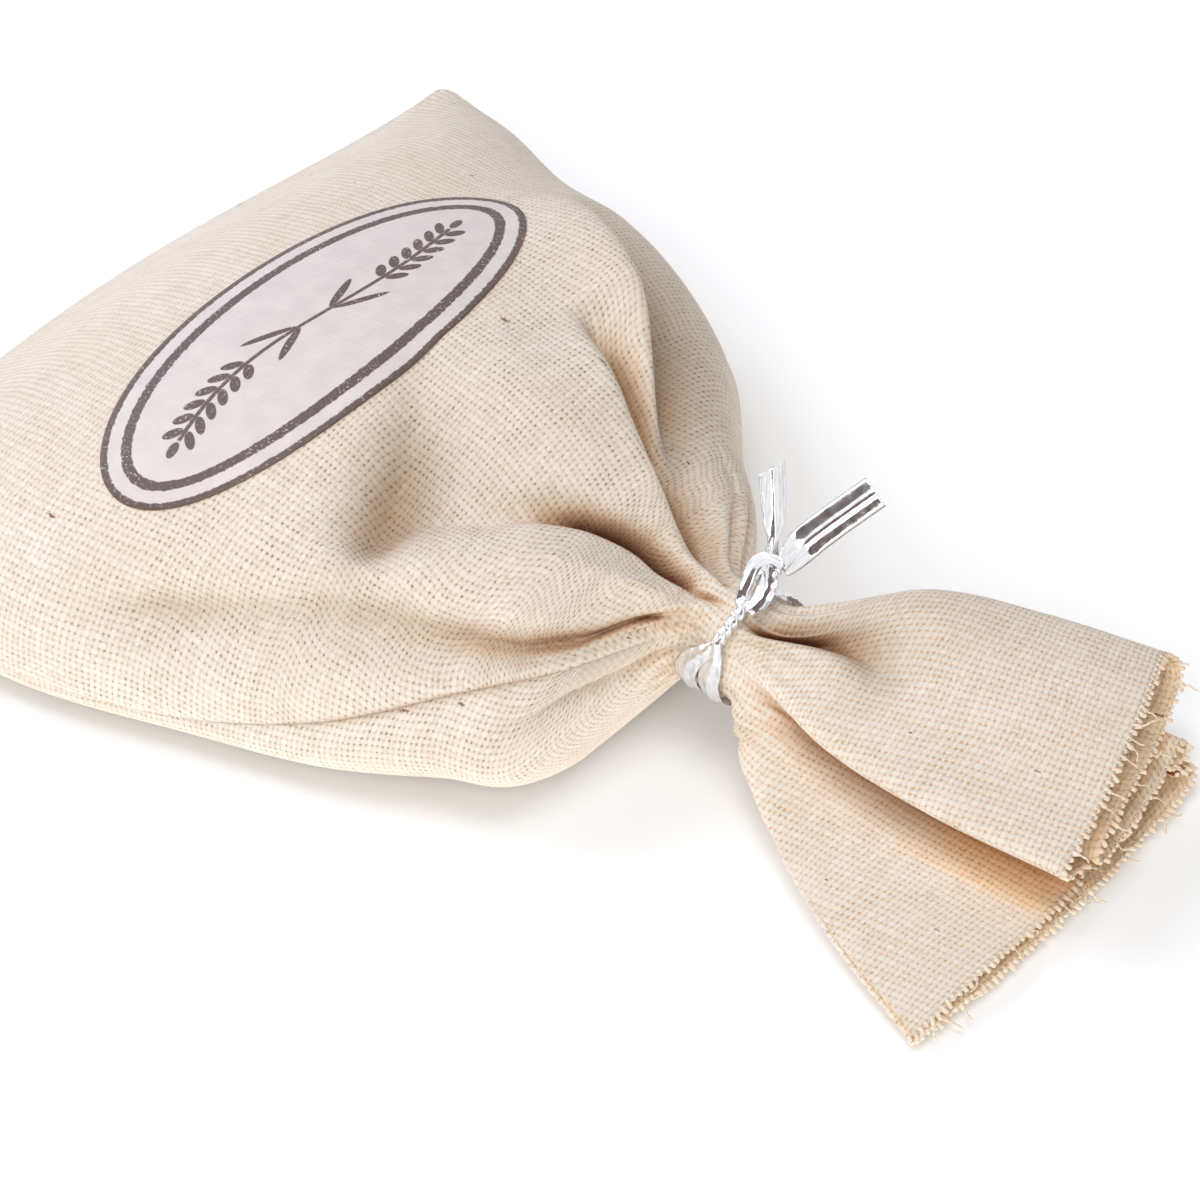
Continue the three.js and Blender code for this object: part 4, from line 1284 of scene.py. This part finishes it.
BROAD_TAIL = [
    (3.79, 2.70, 25.03, -0.55, 0.1, 0.83, 2.5, 0, 0.01),
    (3.6, 4.6, 25.1, -0.75, 0, 0.65, 3.4, 0.1, 0.01),
    (3.5, 6.6, 25.4, -0.85, -0.02, 0.53, 4, 0.2, 0),
    (4.1, 8.4, 26.3, -0.85, -0.02, 0.53, 4, 0.28, 0),
    (5.6, 11.8, 28.1, -0.85, -0.02, 0.53, 4, 0.32, 0),
    (7.2, 15.2, 29.9, -0.85, -0.02, 0.53, 4, 0.35, 0),
]
NARROW_TIP_SKEW = -0.45
make_ribbon("tie_band", BAND, "sachet", ["tie_film"], ["tie_wire"], paint=CREASED_FILM)
make_ribbon("narrow_strand", NARROW_STRAND, "sachet", [], [])
make_ribbon("broad_strand", BROAD_STRAND, "sachet", [], [])
for tail, knots, skew in (("narrow_tail", NARROW_TAIL, NARROW_TIP_SKEW), ("broad_tail", BROAD_TAIL, 0)):
    make_ribbon(tail, knots, tail, [f"{tail}_film"], [f"{tail}_wire"], skew)

# White table top in a white studio: it keeps the cast shadow, takes a painted contact shadow near the
# object, and glows onto the object from below as painted bounce light
WHITE = (1, 1, 1, 1)
FLOOR_PALE = (0.82, 0.82, 0.82, 1)
FLOOR_DARK = (0.1, 0.1, 0.1, 1)
FLOOR_HALF_SIZE = 3
FLOOR_GLOW = 0.3
# glow of the table top onto the object, painted bounce light from below
FLOOR_FILL_GLOW = 0.9
CONTACT_REACH = 0.025
CONTACT_DEPTH = 0.42
AMBIENT = 0.02


def seen_straight(make):
    rays = make.add("LightPath").outputs
    return make.largest(rays["Is Camera Ray"], rays["Is Glossy Ray"], rays["Is Transmission Ray"])


def make_floor():
    paint, make, shader = new_paint("white_table")
    # painted contact shadow on the table near the object
    contact = make.node("AmbientOcclusion", {"Distance": CONTACT_REACH}, samples=12)["AO"]
    shaded = make.maths("POWER", contact, CONTACT_DEPTH)
    glow = make.times(shaded, FLOOR_GLOW)
    make.fill(shader, {
        "Base Color": make.blend(shaded, FLOOR_DARK, FLOOR_PALE),
        "Roughness": 0.9,
        "Specular IOR Level": 0.0,
        "Emission Color": WHITE,
        "Emission Strength": make.spread(seen_straight(make), 0.0, 1.0, FLOOR_FILL_GLOW, glow, soft=False),
    })
    bm = bmesh.new()
    bmesh.ops.create_grid(bm, x_segments=1, y_segments=1, size=FLOOR_HALF_SIZE)
    floor = finished_piece("floor", bm, paint)


def make_world():
    world = bpy.data.worlds.new("studio")
    bpy.context.scene.world = world
    world.use_nodes = True
    make = Shading(world.node_tree)
    strength = make.spread(seen_straight(make), 0.0, 1.0, AMBIENT, 1.0, soft=False)
    make.fill(world.node_tree.nodes["Background"].inputs, {"Color": WHITE, "Strength": strength})


def softbox(name, place, energy, size, colour=(1, 1, 1)):
    lamp = bpy.data.lights.new(name, "AREA")
    lamp.energy = energy
    lamp.color = colour
    lamp.size = size
    aimed(name, lamp, place, -Vector(place))


make_floor()
make_world()
softbox("overhead", (0.0, -0.05, 1.0), 4.4, 0.5)
softbox("left", (-0.8, -0.1, 0.6), 5.0, 0.6, colour=(0.92, 0.98, 1.16))
softbox("front", (0.2, -0.72, 0.66), 3.6, 0.6)
softbox("mouth_side", (0.8, -0.35, 0.36), 1.7, 0.5)

# Dark studio card that only bright metal mirrors
CARD_AT = Vector((0.3, -0.36, 0.5))
CARD_SIZE = 0.74
CARD_BROWN = (0.11, 0.08, 0.07, 1)


def make_card():
    bm = bmesh.new()
    bmesh.ops.create_grid(bm, x_segments=1, y_segments=1, size=CARD_SIZE / 2)
    set_down(bm, bm.verts, CARD_AT, CARD_AT)
    paint, make, shader = new_paint("dark_card")
    make.fill(shader, {"Base Color": CARD_BROWN, "Roughness": 1.0})
    card = finished_piece("dark_card", bm, paint)
    card.visible_camera = False
    card.visible_diffuse = False
    card.visible_shadow = False
    card.visible_transmission = False


make_card()

bpy.context.scene.view_settings.view_transform = "Standard"
